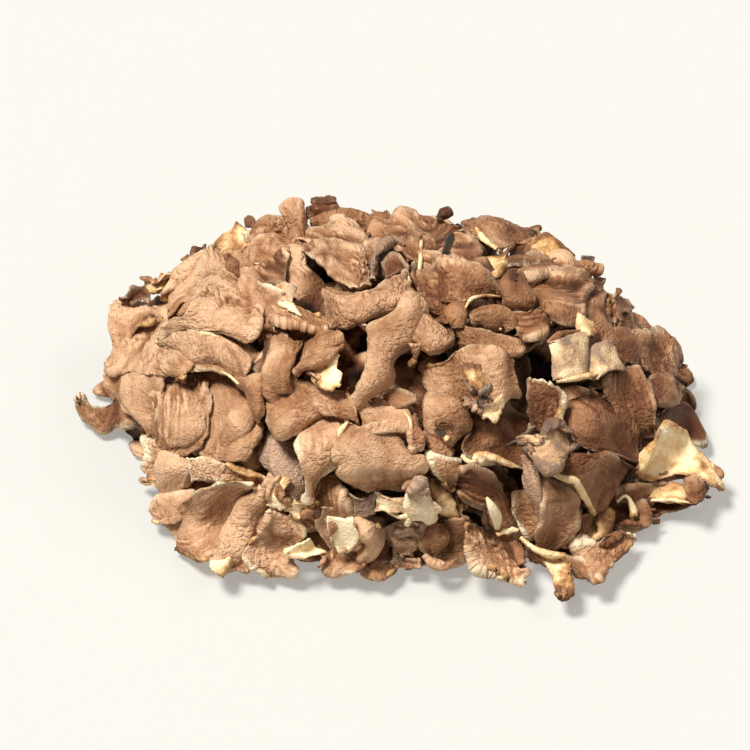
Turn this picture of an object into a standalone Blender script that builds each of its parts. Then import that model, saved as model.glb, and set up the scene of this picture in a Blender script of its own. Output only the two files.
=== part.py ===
"""A dried maitake head: a branched stem with a flat cut below and overlapping, rolled fronds."""

import math
import random
from dataclasses import dataclass

import bmesh
import bpy
import numpy as np

# Millimetres to metres
MM = 0.001

# Dome that the fronds lie on, as half sizes in millimetres
DOME_HALF_WIDTH = 80.0
DOME_HALF_DEPTH = 54.0
DOME_HEIGHT = 53.0

# Branched core of the head: its share of the dome, height of its widest part, lumps and sag below that part
CORE_SHARE = 0.88
CORE_BOTTOM = 5.0
CORE_LUMP = 1.6
CORE_SAG = 3.0

# Stem with the flat cut that the head rests on
BASE_HALF_WIDTH = 24.0
BASE_HALF_DEPTH = 18.0
STEM_HEIGHT = 16.0
STEM_SPREAD = 1.45
STEM_SIDES = 32
STEM_LEVELS = (0.0, 0.35, 1.0)
STEM_THREE_LOBES = 0.05
STEM_FIVE_LOBES = 0.03

# Thickness of a frond at its margin, and the stalk behind it that joins it to the core
MARGIN_THICKNESS = 1.2
STALK_SHARE = 0.82
STALK_WIDTH_SHARE = 0.3
LOWEST_STALK = 9.0

# Random unevenness of the margins and faces
UNEVENNESS = 0.25

# Turned-down margins of the faces
CRISP_ROLL = 0.8
CRISP_DROP = 1.2
ROLLED_DROP = 2.8
TURNED_UP = 0.8

# Faces of more than these areas in square millimetres have their rows and columns at these shares
FACE_GRIDS = (
    (230.0, (0.0, 0.15, 0.85, 1.0), (-1.0, -0.6, 0.6, 1.0)),
    (90.0, (0.0, 0.25, 0.75, 1.0), (-1.0, 0.0, 1.0)),
    (60.0, (0.0, 0.5, 1.0), (-1.0, 0.0, 1.0)),
    (0.0, (0.0, 0.5, 1.0), (-1.0, 1.0)),
)

# Folds: most rows, and how far their sides fall for each millimetre of half width and of skirt
MOST_FOLD_ROWS = 4
FOLD_FALL = 0.8
SKIRT_FALL = 0.6

# Softness of the dome's outline and of its meeting with the ground
OUTLINE_EASE = 0.06
FLOOR_EASE = 16.0

# Vertices of the joined head closer than this, in metres, are one
MERGE_DISTANCE = 0.00001

# Lowest faces: where they stop going down the dome, and how they ease out over the ground
LOWEST_PLACE = 5.0
GROUND_EASE = 2.0
LOWEST_TOP = 1.6
LOWEST_UNDERSIDE = 0.4

# Blades of the far side: their roots in the core, outline and waves
ROOT_THICKNESS = 9.0
ROOT_DEPTH_SHARE = 0.6
ROOT_WIDTH = 5.0
ROOT_END_SHARE = 0.55
WIDEST_AT = 0.62
TIP_NARROWING = 0.2
CORNER_ROUNDING = 0.26
MIDDLE_AT = 0.55
BROAD_LOBE = 0.07
NARROW_LOBE = 0.05
FOLD_SHARE = 0.55
LOW_EASE_HEIGHT = 22.0
LOW_EASE_LEAN = 0.55

# Front slope in degrees: the places of the faces are given on a plane that leans back by it
SLOPE = 50.0
SEED = 17


@dataclass
class Face:
    """A broad part of a frond as it shows on the front slope, in mm.

    Each row is across and up of its first edge, then of its second edge, then the lift out of the dome.
    The rolls are the radii that the first edge, second edge, start and end turn under by.
    """

    name: str
    rows: tuple
    rolls: tuple


@dataclass
class Fold:
    """A rolled strip, in mm: across, up and lift of its crest, its widths there, the reach of its skirt."""

    name: str
    crest: tuple
    widths: tuple
    skirt: float


@dataclass
class Blade:
    """The form of one blade of the far side, in degrees and mm."""

    name: str
    cup: float
    edge: float
    arch: float
    tilt: float
    roll: float
    wave: float
    lift: float


LEFT_SHEETS = [
    Face("left_fan", (
        (-79, 34, -69, 33, 1), (-81.5, 28, -65, 30, 3),
        (-80.5, 21, -64, 21, 4), (-82, 15, -65, 13, 3),
    ), (2.5, 0.5, 2, 1)),
    Face("left_fan_low", (
        (-83, 17, -66, 18, 1), (-83, 12, -65, 12, 2), (-79, 6, -66, 5, 2),
        (-74, 1, -66.5, -2, 1.5), (-70, -3.5, -67, -6, 0),
    ), (1.5, 0.5, 0.5, 1)),
    Face("left_horn", (
        (-72, 6, -72, 0, -2), (-79, 6.5, -78, -0.5, 0), (-84, 4.5, -82, -2.5, 1),
        (-88, 6.5, -87, 1, 1), (-90, 7.5, -90, 4.5, 1),
    ), (-0.8, 1, 0.5, 0.8)),
    Face("left_pored_crumple", (
        (-72, 41, -71, 36, 1), (-68.5, 41, -68, 35.5, 2),
        (-65.5, 41, -66, 36, 1),
    ), (0.5, 0.5, 0.5, 0.5)),
    Face("upper_left_block", (
        (-62.5, 29.5, -59, 30.5, 2), (-65.3, 34, -56, 36, 4), (-66.3, 39, -54.5, 41, 5),
        (-65.5, 42.3, -54, 45, 4), (-60, 45.5, -53, 48, 2),
    ), (2.5, 0.5, 1.5, 1.5)),
    Face("shoulder", (
        (-53.5, 48, -47, 48, 2), (-55.5, 41, -43, 39.5, 6), (-57, 35, -37.5, 31, 8), (-59.5, 31, -43, 23, 9),
        (-62.5, 28.5, -54, 25.5, 9), (-65, 25.3, -62, 23.6, 8), (-67.5, 22.5, -66, 21.2, 6),
    ), (1.2, 0.8, 1.5, 0.8)),
    Face("striped_wedge", (
        (-55, 46.5, -48, 46.5, 1), (-50, 51.5, -43, 48, 3),
        (-45, 57, -40, 52, 2),
    ), (0.3, 0.5, 0.5, 0.5)),
    Fold("fold_ridge", (
        (-46, 48.5, 6), (-44.5, 45, 9), (-42, 40, 9.5), (-39.5, 35, 8), (-37, 30, 4),
    ), (3, 5, 6.5, 6, 4), 4),
    Face("band", (
        (-65, 22.8, -61, 17.5, 4), (-59, 25.5, -56.5, 16.3, 6), (-52, 25, -51, 15.6, 7),
        (-46, 22, -46.5, 13, 6.5), (-41, 18, -43.5, 9.5, 5),
    ), (0.5, 1.8, 1.2, 0.5)),
    Face("ribbed_tongue", (
        (-64.5, 11.5, -57.5, 11, 3), (-67.3, 6, -54.5, 4, 5),
        (-67, -1, -54.5, -2.5, 5.5), (-64.5, -6.5, -58, -6.5, 3),
    ), (2.5, 2.5, 2.5, 2)),
    Face("smooth_lobe", (
        (-57, 13, -45, 13, -1), (-57, 5, -40.5, 6, 1),
        (-56.5, -3, -39, -3, 2.5), (-55, -10, -42, -10.5, 3),
    ), (0.5, 1.5, 0.5, 1.2)),
    Fold("smooth_lobe_fold", ((-41, 6, 3), (-44, 1, 5), (-48, -5, 5.5), (-51, -9, 4)), (3, 5, 6.5, 5), 1),
]

LOWER_LEFT_SHEETS = [
    Face("pale_fold", (
        (-66.5, -8, -58, -8.5, 2), (-66.8, -14, -55.5, -13, 4),
        (-66.8, -20.5, -59, -20, 3),
    ), (1.5, 2, 1, 1.5)),
    Face("pale_strip", (
        (-59, -9, -58, -16, 3), (-52, -10, -52, -15.5, 4.5),
        (-45, -12, -46, -16, 4.5), (-38.5, -14.5, -40, -17, 3),
    ), (1, 0.8, 1, 0.5)),
    Face("low_left_fan", (
        (-40, -16.5, -41, -19, 1), (-47, -16.5, -45, -26, 3), (-54, -18, -49.5, -34, 4),
        (-60, -21, -54, -38.3, 4), (-65.5, -27, -61.5, -35, 2),
    ), (0.5, 0.8, 0.5, 1.2)),
    Face("low_left_lobe", (
        (-57, -19.5, -57, -24, 3), (-63, -20.5, -62, -27.3, 4.5),
        (-67, -21.5, -66, -28.2, 3.5), (-69.3, -24, -68.8, -26.8, 1.5),
    ), (1.5, 1, 0.5, 1.2)),
    Fold("narrow_roll", (
        (-38, -17.5, 4), (-41, -22, 7), (-43, -29, 8.5), (-46, -35, 7.5), (-51, -39.5, 4),
    ), (4, 7, 8, 9.5, 7), 4),
    Face("broad_low_lobe", (
        (-36, -24, -28, -26, 3), (-38.5, -30, -26, -31, 5), (-43, -35, -29, -36, 5),
        (-42, -38.5, -29, -41, 4), (-37, -42.3, -33, -42.3, 2),
    ), (1.2, 1, 0.5, 1)),
]

CENTRE_SHEETS = [
    Face("pale_edge_strip", (
        (-37, 36, -36, 28, 3), (-30, 34, -29, 27, 5),
        (-23, 31, -23, 26, 5), (-18, 29.5, -18, 26.5, 3),
    ), (0.8, 1, 0.5, 1)),
    Face("ribbed_fold", (
        (-34, 25.5, -27, 23, 4), (-36.5, 20, -28, 18.5, 6),
        (-37.5, 14, -29.5, 13, 6.5), (-34.5, 8.5, -30, 8.5, 4),
    ), (1.8, 1.8, 1, 1.2)),
    Face("pit_wall", (
        (-26, 25, -29, 15, 2), (-21.5, 27.2, -22.5, 18, 6),
        (-17, 25.8, -15, 21, 4),
    ), (2.2, 0.5, 1, 1)),
    Fold("pit_lip", (
        (-29.3, 13.8, 5), (-26, 16.2, 8), (-21, 18.8, 8.8), (-15, 22, 7),
    ), (3, 4.8, 3.8, 1.5), 1.5),
    Face("broken_cream", (
        (-25.5, 15.2, -23.5, 13, 4), (-20.5, 17.2, -19.5, 10.3, 6),
        (-15.8, 18.5, -16, 11, 6),
    ), (0.3, 0.4, 0.3, 0.3)),
    Face("pit_foot", (
        (-23, 9.5, -14, 9.5, 3), (-23.5, 5.5, -12.3, 6, 5),
        (-20.5, 2.5, -11.5, 0, 4.5),
    ), (1.5, 1, 1, 1)),
    Face("saddle", (
        (-21, 37.5, -20, 30, 3), (-17, 38, -17.5, 26.3, 7), (-12, 37, -11.5, 27.8, 8),
        (-6, 38.7, -6, 31, 8), (-1, 41, -1, 31.5, 7.5), (2, 42, 3, 33, 5),
    ), (2.5, 2, 2, 0.5)),
    Fold("star_ridge", ((1.5, 43, 3), (2.5, 38, 8), (4, 32, 10), (4.8, 26, 10)), (4, 6, 9, 9), 2),
    Face("star_web_left", (
        (-12, 27.8, -8, 25.5, 3), (-6, 27.3, -2, 23.5, 6),
        (0, 30.5, 2, 21.5, 8), (5, 32.5, 4.5, 20, 9),
    ), (0.8, 2, 1, 0.5)),
    Face("star_hump", (
        (4.5, 32.5, 4.5, 20.5, 9), (9, 28.8, 8, 19, 8),
        (13, 26, 12, 19.5, 6.5), (16, 24.5, 15.5, 21.5, 3),
    ), (2, 2.2, 0.5, 2)),
    Face("arch_lower", (
        (-10, 27, 0, 24, 5), (-8.3, 21, -0.8, 20, 8), (-8.5, 15, 0, 14.5, 8.5),
        (-11, 10, -1.5, 9, 8), (-12.5, 6, -7.5, 6.8, 6), (-12.5, 2, -9, 3, 4),
    ), (2.8, 2.8, 0.5, 1)),
    Face("centre_left_lobe", (
        (-37.5, 14, -22, 11, 4), (-37.5, 8, -19.5, 5, 6),
        (-36.5, 1.5, -27.5, -0.5, 6.5), (-34.5, -4.3, -30.5, -3.3, 4),
    ), (2, 1.5, 1, 1.5)),
    Face("pale_star", (
        (-28.3, -0.5, -18, 3, 5), (-27.2, -6, -16.3, -4, 7.5), (-27.2, -12, -17.3, -10.5, 7.5),
        (-26.5, -17.5, -21, -15.5, 6.5), (-25.6, -21.5, -24, -20.5, 4.5),
    ), (1.2, 2, 0.5, 0.8)),
    Face("bare_stalk", (
        (-36, -2, -29, -3, 0), (-38.5, -10, -27.5, -10, 2),
        (-34.5, -17, -26, -18, 2.5), (-31, -24, -25, -24.5, 1),
    ), (1.5, 1.5, 0.5, 0.5)),
    Face("dark_stripes", (
        (-21.5, -14, -17.5, -14, 2), (-24.5, -20, -15.5, -20, 3.5),
        (-25, -27, -13, -27, 2),
    ), (1.5, 1.2, 0.5, 0.5)),
    Face("centre_face", (
        (-14.5, 0.5, 1, 0.5, 5), (-17.5, -5, 3, -6, 8.5), (-18, -10, 8, -10, 9.5),
        (-17.8, -14, 4.5, -14.5, 9), (-13, -18, 0.5, -18, 6),
    ), (2.5, 1.8, 1, 1.2)),
    Face("scarred_knob", (
        (8, 8, 15, 8, 3), (7, 4, 19.3, 4, 6.5), (7.3, -1, 19.8, -1, 7.5),
        (11, -5, 16.5, -5, 7), (12.8, -7.8, 14.6, -7.3, 5),
    ), (2, 2.5, 1, 1)),
    Face("hanging_wedge", (
        (8.3, -9, 17, -10, 4), (10.5, -14, 16.3, -14, 5.5),
        (13, -19, 15.8, -19, 4.5),
    ), (0.8, 0.8, 0.5, 0.5)),
]

BOTTOM_SHEETS = [
    Face("cream_square", (
        (-19.8, -25.8, -13, -25.8, 7), (-20.3, -30, -11.3, -31.5, 7.5),
        (-16, -35.8, -15, -35.8, 6),
    ), (0.3, 0.3, 0.6, 0.3)),
    Fold("standing_ridge", (
        (-13, -25.5, 4), (-10, -30, 8), (-8.3, -34, 8), (-11.5, -38.5, 5),
    ), (3, 5, 6.5, 6), 3),
    Face("low_brown_lobe", (
        (-23, -34, -13, -36, 3), (-21.5, -38, -9.5, -38.5, 4),
        (-20, -41.5, -11.5, -41, 2),
    ), (1.2, 1, 0.5, 1)),
    Face("grey_crumple", (
        (5.3, -15.8, 6, -15.8, 6), (1.5, -20, 8.3, -20, 7.5),
        (3.5, -24, 10.3, -24, 6.5), (5.5, -28.3, 9.5, -27.3, 4),
    ), (0.5, 0.8, 0.3, 0.5)),
    Face("bottom_c", (
        (5, -28, 13, -27, 2), (5.3, -33, 14, -32, 4.5),
        (8, -38, 12, -36.5, 3),
    ), (1.5, 1.5, -0.8, 1)),
    Face("bottom_d", (
        (13, -26.5, 18.5, -26, 1.5), (14, -33, 19.3, -33, 3),
        (12, -39.3, 17, -37.5, 2),
    ), (1.5, 1.2, 0.5, 1)),
    Face("bottom_tip_a", (
        (-10.5, -38.7, -9.5, -41, 2), (-5, -38.7, -5.5, -43.3, 3),
        (0.5, -38.7, -1, -40.5, 2),
    ), (0.8, 0.8, 0.5, 0.5)),
]

TOP_SHEETS = [
    Face("back_hump", (
        (-42, 57, -43, 50, 0), (-37, 58.5, -38, 49, 2),
        (-32, 56, -33, 50, 1),
    ), (2, 0.5, 1.5, 1)),
    Face("dark_wrinkled", (
        (-44, 51.5, -41.5, 41, 2), (-38.5, 51, -38, 39, 3.5),
        (-31, 50, -31, 39, 2),
    ), (1, 1, 0.5, 0.5)),
    Fold("upright_finger", (
        (-29, 48.5, 5), (-29, 53, 7), (-29.5, 58, 6), (-30.7, 61.7, 3),
    ), (5, 6.5, 7, 3.5), 1.5),
    Face("ragged_knob", (
        (-25.8, 57.5, -19.5, 57, 1), (-25.3, 61, -19, 60.5, 2.5),
        (-23, 62.8, -20.5, 62.8, 1),
    ), (1, 1, 0.5, 1)),
    Fold("back_roll", (
        (-25, 57.3, 0), (-20, 57.3, 2), (-13, 58, 3), (-9, 56.5, 2), (-7.3, 53.5, 0),
    ), (3, 4, 5.2, 5, 3.5), 1.5),
    Face("broad_block", (
        (-28.5, 52.5, -27, 48, 3), (-23, 55.5, -21.5, 44.5, 7), (-16, 56.3, -17, 39.3, 9),
        (-11, 55, -11.5, 37.8, 8), (-9.3, 51, -8, 38, 5),
    ), (1.8, 1, 0.5, 2)),
    Fold("funnel_rim", (
        (-7.5, 40.5, 4), (-7.2, 45, 6.5), (-5, 49.3, 7.5), (-1.5, 51.2, 7), (1.5, 50.3, 5),
    ), (1.8, 2.6, 2.6, 2.2, 1), 1),
    Face("broad_top", (
        (-5, 54.5, -3, 50, 1), (1, 59, 1, 47, 3), (7, 57.8, 7, 43, 4),
        (12, 57.5, 12, 45, 4), (18.5, 55, 17, 52, 2),
    ), (1, 0.5, 0.5, 1)),
    Fold("dark_tip", ((10.5, 57.3, 4), (12.5, 58.8, 5), (14.3, 60, 4)), (1.6, 2.4, 2.2), 0.5),
    Face("small_top_block", (
        (15, 51.3, 21.5, 50.5, 2), (14.5, 46, 22.3, 45, 4),
        (15, 42.5, 22, 42, 2),
    ), (1.2, 1.5, 0.8, 0.5)),
    Face("curled_fan", (
        (17.8, 56, 19, 53.5, 1), (23, 57.8, 22.5, 51, 3), (28, 57.5, 28, 48.3, 4.5),
        (33, 55.3, 33, 50, 4), (39, 55, 38.5, 52.3, 2),
    ), (1.8, 0.4, 0.5, 1)),
    Face("cream_cup", (
        (21.8, 46, 22, 41.5, 2), (25, 46.8, 26, 40.3, 3.5),
        (29, 48.5, 28, 42, 4.5), (32, 50.8, 29.8, 45, 4),
    ), (0.6, 1, 0.5, 0.5)),
    Face("brown_bar", (
        (29.5, 44, 31, 40.5, 2), (36, 47, 37, 40.5, 4),
        (44, 46.7, 44, 42, 4.5), (51.5, 45.5, 50, 42.5, 2),
    ), (0.8, 1, 0.8, 0.5)),
    Face("reddish_tongue", (
        (29.8, 42.3, 34.3, 42.3, 5), (27.8, 38.5, 37, 38.5, 7.5),
        (28.3, 34, 38, 34.5, 7.5), (29.3, 31, 37, 31.5, 5),
    ), (2, 2, 2.5, 0.5)),
    Face("radial_face", (
        (37, 39.7, 38, 32.5, 3), (43, 41.8, 41, 30, 6.5),
        (49, 42.8, 46, 27.5, 7.5), (53.5, 40.5, 51.5, 30, 4),
    ), (1.5, 0.8, 0.5, 2)),
    Face("right_centre", (
        (30, 31.8, 32.5, 24.3, 4), (36, 32.3, 36, 23.5, 6.5),
        (40, 32.8, 40, 25, 6.5), (45.5, 32.8, 43, 28, 4),
    ), (0.8, 1.2, 0.8, 0.5)),
    Face("right_shoulder", (
        (53, 39.5, 56.5, 37, 2), (51, 34, 59, 34.5, 4),
        (52.5, 28, 59.3, 28, 4), (54, 22, 58.5, 22, 2),
    ), (1, 1.5, 1, 0.5)),
    Face("ragged_far_edge", (
        (57.5, 30, 60, 27.5, 1), (59.5, 35.8, 62, 30.5, 2.5),
        (61.7, 36.8, 65, 32.5, 2),
    ), (0.5, 0.5, 0.5, 0.5)),
    Face("broad_middle", (
        (7, 42, 6.5, 38, 4), (13, 45.5, 12, 33, 7), (18, 44, 18, 33.5, 8.5),
        (24, 42, 24, 35.2, 8.5), (29, 36, 28.5, 35, 6),
    ), (1.2, 0.3, 0.5, 0.5)),
    Fold("small_roll", (
        (19.5, 29, 5), (24, 30.2, 7.5), (29, 29.7, 7.5), (31.3, 26, 5),
    ), (4.5, 6.2, 7, 4.5), 2),
    Face("level_fold", (
        (15, 27, 17, 21.5, 3), (20, 27.2, 22, 20.3, 6.5), (26, 25.5, 28, 19.3, 6.5),
        (31, 23.5, 33, 20, 5.5), (37.5, 24.5, 36.5, 23.3, 3.5),
    ), (1.2, 1.2, 0.5, 0.5)),
    Face("scarred_face", (
        (6.3, 16.5, 6.3, 10, 2), (12, 18.3, 12, 8.3, 5.5), (18, 21.3, 18.5, 5.3, 8),
        (24, 20.5, 25, 2.8, 9), (29, 19.7, 29.3, 6.5, 8), (31.7, 18.5, 32.2, 8.5, 5),
    ), (1, 0.8, 0.5, 1.2)),
    Face("ragged_block", (
        (35, 13.3, 41, 11, 4), (35.3, 7, 44.8, 8.5, 6),
        (36, 1, 44.3, 1, 5), (38, -2.5, 44, -2.5, 3),
    ), (0.8, 1, 0.3, 1)),
]

RIGHT_SHEETS = [
    Face("cream_cube", (
        (41, 22, 40.3, 16, 5), (45, 24.3, 43, 11.8, 8.5),
        (51, 24.7, 51.5, 13.5, 9), (53, 22, 53, 14, 7),
    ), (1, 0.3, 1, 0.5)),
    Face("cream_shelf", (
        (51.5, 19.8, 51.5, 13.5, 7), (55, 21.3, 55.5, 14, 8.5),
        (58.7, 21.8, 59.5, 15, 7.5), (61.5, 17, 62, 15.8, 5),
    ), (0.4, 0.3, 0.4, 0.4)),
    Face("smooth_right", (
        (44.5, 4, 43.5, -4, 3), (51, 7.3, 51, -7, 6.5),
        (58, 7.5, 60, -9.3, 7.5), (66, 4, 67, -11, 6),
    ), (1.5, 1, 1, 0.8)),
    Face("right_middle", (
        (58, 15, 67, 15.5, 2), (56.5, 9, 69.5, 11, 4.5),
        (60, 3, 71, 3, 6), (64, -4, 72, -5, 5),
    ), (1, 1, 0.5, 0.8)),
    Face("big_right_dome", (
        (43.5, -8, 41.5, -13, 4), (52, -7.3, 48.3, -16, 8),
        (60, -9.3, 52, -21, 9), (65.8, -12, 54.3, -25.7, 6),
    ), (1.2, 0.5, 0.5, 2.5)),
    Face("right_upper_lobe", (
        (60, 26, 63.5, 26.5, 3), (59.3, 21, 66.8, 22, 5.5),
        (62, 16.5, 66, 16, 4),
    ), (1.2, 1.8, 1, 1)),
    Face("right_top_fan", (
        (65.5, 24.7, 66, 15.5, 2), (70, 24.8, 71, 13.8, 4.5),
        (75, 25.3, 76, 13.8, 4.5), (78.5, 19, 79, 14, 2),
    ), (0.5, 1, 0.8, 0.5)),
    Face("right_lobe", (
        (67.5, 11, 68, 8.5, 4), (71, 13.8, 71, 5.8, 6.5),
        (76, 13.8, 76, 5.8, 6.5), (79.5, 11, 79, 9, 4),
    ), (1.5, 1.8, 1, 1.5)),
    Face("right_dark_fold", (
        (71, 2, 72, -2, 0), (77, 7, 77, -3, 1),
        (82, 4.5, 82, -5.5, 1.5), (85.5, -2, 85.3, -6.3, 0),
    ), (0.5, 0.5, 0.5, 0.5)),
    Face("pored_fan", (
        (67, -8.5, 65.5, -11, 3), (70, 1.2, 71.5, -14.7, 6.5), (76, -0.8, 77, -14, 7.5),
        (82, -5.7, 83, -16, 7.5), (87, -9.5, 87, -18.8, 6.5), (91, -14.5, 90, -18.8, 4),
    ), (0.4, -0.8, 0.5, 0.5)),
    Face("cream_roll_long", (
        (69, -16, 69, -21.2, 5), (75, -16, 75, -21.5, 6.5),
        (80.5, -16.8, 80, -21.5, 5.5),
    ), (1, 1, 0.5, 0.5)),
    Face("brown_tip_right", (
        (79.5, -16.8, 79.5, -21, 6), (83, -16.3, 83, -22.2, 7.5),
        (86.3, -18.5, 85.7, -20.2, 5.5),
    ), (1.5, 1.2, 0.5, 1)),
    Face("edge_lobe_a", (
        (60.5, -18.5, 61, -20.8, 4), (65, -17.3, 66, -22.2, 6),
        (70.3, -16.8, 69.8, -22.2, 5),
    ), (1, 1, 0.5, 0.8)),
    Face("edge_lobe_b", (
        (64.8, -22.5, 65.8, -27.5, 4), (68, -21.8, 68.5, -28.7, 5.5),
        (71, -24, 71.3, -27, 4),
    ), (1.2, 1.2, 0.8, 1.2)),
    Fold("yellow_fold", (
        (59.5, -24, 4), (58, -27, 6.5), (57, -30, 6.5), (53, -32.3, 4.5),
    ), (3, 4.5, 4, 2), 1),
]

LOWER_RIGHT_SHEETS = [
    Face("dark_face", (
        (19, 4, 41, 1.5, 1), (19, -2, 39, -4, 3),
        (17.5, -8, 35, -10, 4), (23, -10, 34, -12.3, 3),
    ), (1, 1, 0.5, 0.5)),
    Face("cream_crumple_c", (
        (31, -3.5, 34.5, -7.5, 5), (38, -2.5, 38, -11, 7.5), (43.5, 1.8, 42.5, -12.3, 8.5),
        (48.5, -3.2, 45.5, -8.8, 7.5), (50, -5, 49, -6, 5),
    ), (0.5, 0.8, 0.4, 0.4)),
    Face("dark_ribbed_cup", (
        (16.3, -13, 16, -19, 1), (20, -11.3, 19, -22, 3.5),
        (25, -13, 24, -22.7, 4), (28.5, -17, 27.5, -20.5, 2),
    ), (1, 1, 0.5, 1.2)),
    Face("low_fan", (
        (18.5, -26.5, 30, -31, 2), (18.3, -33, 33.5, -36, 4.5),
        (21, -39.8, 35.3, -40.5, 4.5), (27, -42, 33, -43.7, 2),
    ), (1, 1, 0.5, 0.8)),
    Fold("grey_ridge", (
        (34.3, -8.5, 5), (36, -14, 7.5), (38.5, -20, 8.5), (39.3, -26, 8), (38.5, -30, 6),
    ), (3.5, 4.5, 3.8, 2.6, 2), 1.5),
    Face("domed_fan", (
        (37, -13, 43, -15, 3), (39.5, -19, 49, -20, 6.5), (39.5, -25, 49.3, -27, 8),
        (38, -31, 47.3, -32, 7.5), (38.5, -35, 43.5, -35.7, 5),
    ), (1, 2.5, 0.5, 2)),
    Face("cream_spike", (
        (38.3, -38, 46, -39.7, 4), (40.3, -43, 47, -43.5, 5.5),
        (44.3, -48.3, 47.7, -47.7, 4.5),
    ), (0.5, 0.8, 0.4, 0.6)),
    Face("ragged_low_right", (
        (49, -34.3, 50, -40, 2), (55, -33.3, 54, -41.3, 3.5),
        (60, -31, 59, -37, 3.5), (64.5, -31.5, 64, -33.3, 2),
    ), (0.6, 0.6, 0.5, 0.5)),
    Face("low_lobe_right", (
        (49, -25.5, 48, -34.3, 3), (53, -24.5, 52, -32, 4.5),
        (57, -26, 56, -30, 3),
    ), (0.8, 1.2, 0.5, 1)),
]

FRONT_SHEETS = (
    LEFT_SHEETS + LOWER_LEFT_SHEETS + CENTRE_SHEETS + BOTTOM_SHEETS
    + TOP_SHEETS + RIGHT_SHEETS + LOWER_RIGHT_SHEETS
)

# Rings of blades on the far side: height angle on the dome, first and last turn, and number, in degrees
FAR_RINGS = [
    (6.0, 8.0, 172.0, 12),
    (26.0, 14.0, 166.0, 10),
    (46.0, 48.0, 132.0, 5),
]
FAR_LENGTH = (20.0, 26.0)
FAR_WIDTH = (14.0, 19.0)
FAR_SHARES = (0.4, 1.0)
FAR_COLUMNS = 4

# Spread of the far blades in degrees, and how far in millimetres they droop
FAR_TURN = 3.0
FAR_RISE = 4.0
FAR_SWING = 28.0
FAR_DROOP = 30.0


def unit(vector):
    """The vector at length one."""
    return vector / np.linalg.norm(vector)


SIGHT = np.array([0.0, math.cos(math.radians(SLOPE)), -math.sin(math.radians(SLOPE))])
RISE = np.array([0.0, math.sin(math.radians(SLOPE)), math.cos(math.radians(SLOPE))])
DOME = np.array([DOME_HALF_WIDTH, DOME_HALF_DEPTH, DOME_HEIGHT])


def dome_shown(across, up, lift):
    """Points that show at places of the front slope, lifted out of the dome toward the front."""
    start = across[..., None] * np.array([1.0, 0.0, 0.0]) + up[..., None] * RISE
    scaled = start / DOME
    step = SIGHT / DOME
    square = step @ step
    half = scaled @ step
    spread = half * half - square * ((scaled**2).sum(axis=-1) - 1.0)
    soft = 0.5 * (spread + np.sqrt(spread**2 + (OUTLINE_EASE * square) ** 2))
    depth = (half + np.sqrt(soft)) / square
    floor = (LOWEST_PLACE - up * math.cos(math.radians(SLOPE))) / math.sin(math.radians(SLOPE))
    gap = depth - floor
    depth = floor + 0.5 * (gap + np.sqrt(gap**2 + FLOOR_EASE))
    return start - (depth + lift)[..., None] * SIGHT


def eased_ground(points):
    """The points with the low ones lifted softly clear of the ground."""
    height = points[..., 2]
    base = LOWEST_TOP + GROUND_EASE
    eased = LOWEST_TOP + GROUND_EASE * np.exp(np.minimum(height - base, 0.0) / GROUND_EASE)
    points[..., 2] = np.where(height < base, eased, height)
    return points


def between_marks(marks, places):
    """Smooth values between rows of marks, for places from 0 to 1."""
    ends = np.concatenate([[2 * marks[0] - marks[1]], marks, [2 * marks[-1] - marks[-2]]])
    at = np.clip(places, 0.0, 1.0) * (len(marks) - 1.000001)
    k = at.astype(int)
    t = (at - k)[:, None]
    a, b, c, d = ends[k], ends[k + 1], ends[k + 2], ends[k + 3]
    return 0.5 * (2 * b + (c - a) * t + (2 * a - 5 * b + 4 * c - d) * t**2 + (3 * b - a - 3 * c + d) * t**3)


def edge_drop(roll):
    """How far the margin lies behind the face for a roll."""
    if roll < 0.0:
        return -TURNED_UP
    return CRISP_DROP if roll <= CRISP_ROLL else ROLLED_DROP


def face_grid(face):
    """Points of a face by row and column, and which of them stand on its stalk."""
    marks = np.array(face.rows, dtype=float)
    middles = 0.5 * (marks[:, 0:2] + marks[:, 2:4])
    length = np.linalg.norm(np.diff(middles, axis=0), axis=1).sum()
    width = np.linalg.norm(marks[:, 2:4] - marks[:, 0:2], axis=1).mean()
    shares, sides = next(
        (np.array(rows), np.array(columns)) for area, rows, columns in FACE_GRIDS if length * width > area
    )
    values = between_marks(marks, shares)
    halfway = 0.5 * (sides + 1.0)[None, :, None]
    flat = values[:, None, 0:2] * (1.0 - halfway) + values[:, None, 2:4] * halfway
    drops = np.zeros((len(shares), len(sides)))
    first, second, start, end = (edge_drop(roll) for roll in face.rolls)
    drops[:, 0] += first
    drops[:, -1] += second
    drops[0] += start
    drops[-1] += end
    stalk = np.zeros(drops.shape, dtype=bool)
    if len(sides) > 2:
        stalk[1:-1, 1:-1] = True
    else:
        stalk[1] = True
    points = dome_shown(flat[..., 0], flat[..., 1], values[:, None, 4] - drops)
    return eased_ground(points), stalk


def fold_grid(fold):
    """Points of a fold by row and column, and which of them stand on its stalk."""
    marks = np.array([(*place, width) for place, width in zip(fold.crest, fold.widths)], dtype=float)
    crest = between_marks(marks, np.linspace(0.0, 1.0, min(len(marks), MOST_FOLD_ROWS)))
    heading = np.gradient(crest[:, 0:2], axis=0)
    heading /= np.linalg.norm(heading, axis=1, keepdims=True)
    sideways = np.stack([-heading[:, 1], heading[:, 0]], axis=1)
    half = 0.5 * crest[:, 3][:, None]
    sides = np.array([-1.0, 0.0, 1.0])
    flat = crest[:, None, 0:2] - sides[None, :, None] * (half * sideways)[:, None, :]
    drops = np.abs(sides)[None, :] * (FOLD_FALL * half + SKIRT_FALL * fold.skirt)
    stalk = np.zeros(drops.shape, dtype=bool)
    stalk[1:-1, 1] = True
    if len(crest) < 3:
        stalk[0, 1] = True
    points = dome_shown(flat[..., 0], flat[..., 1], crest[:, 2][:, None] - drops)
    return eased_ground(points), stalk


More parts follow.
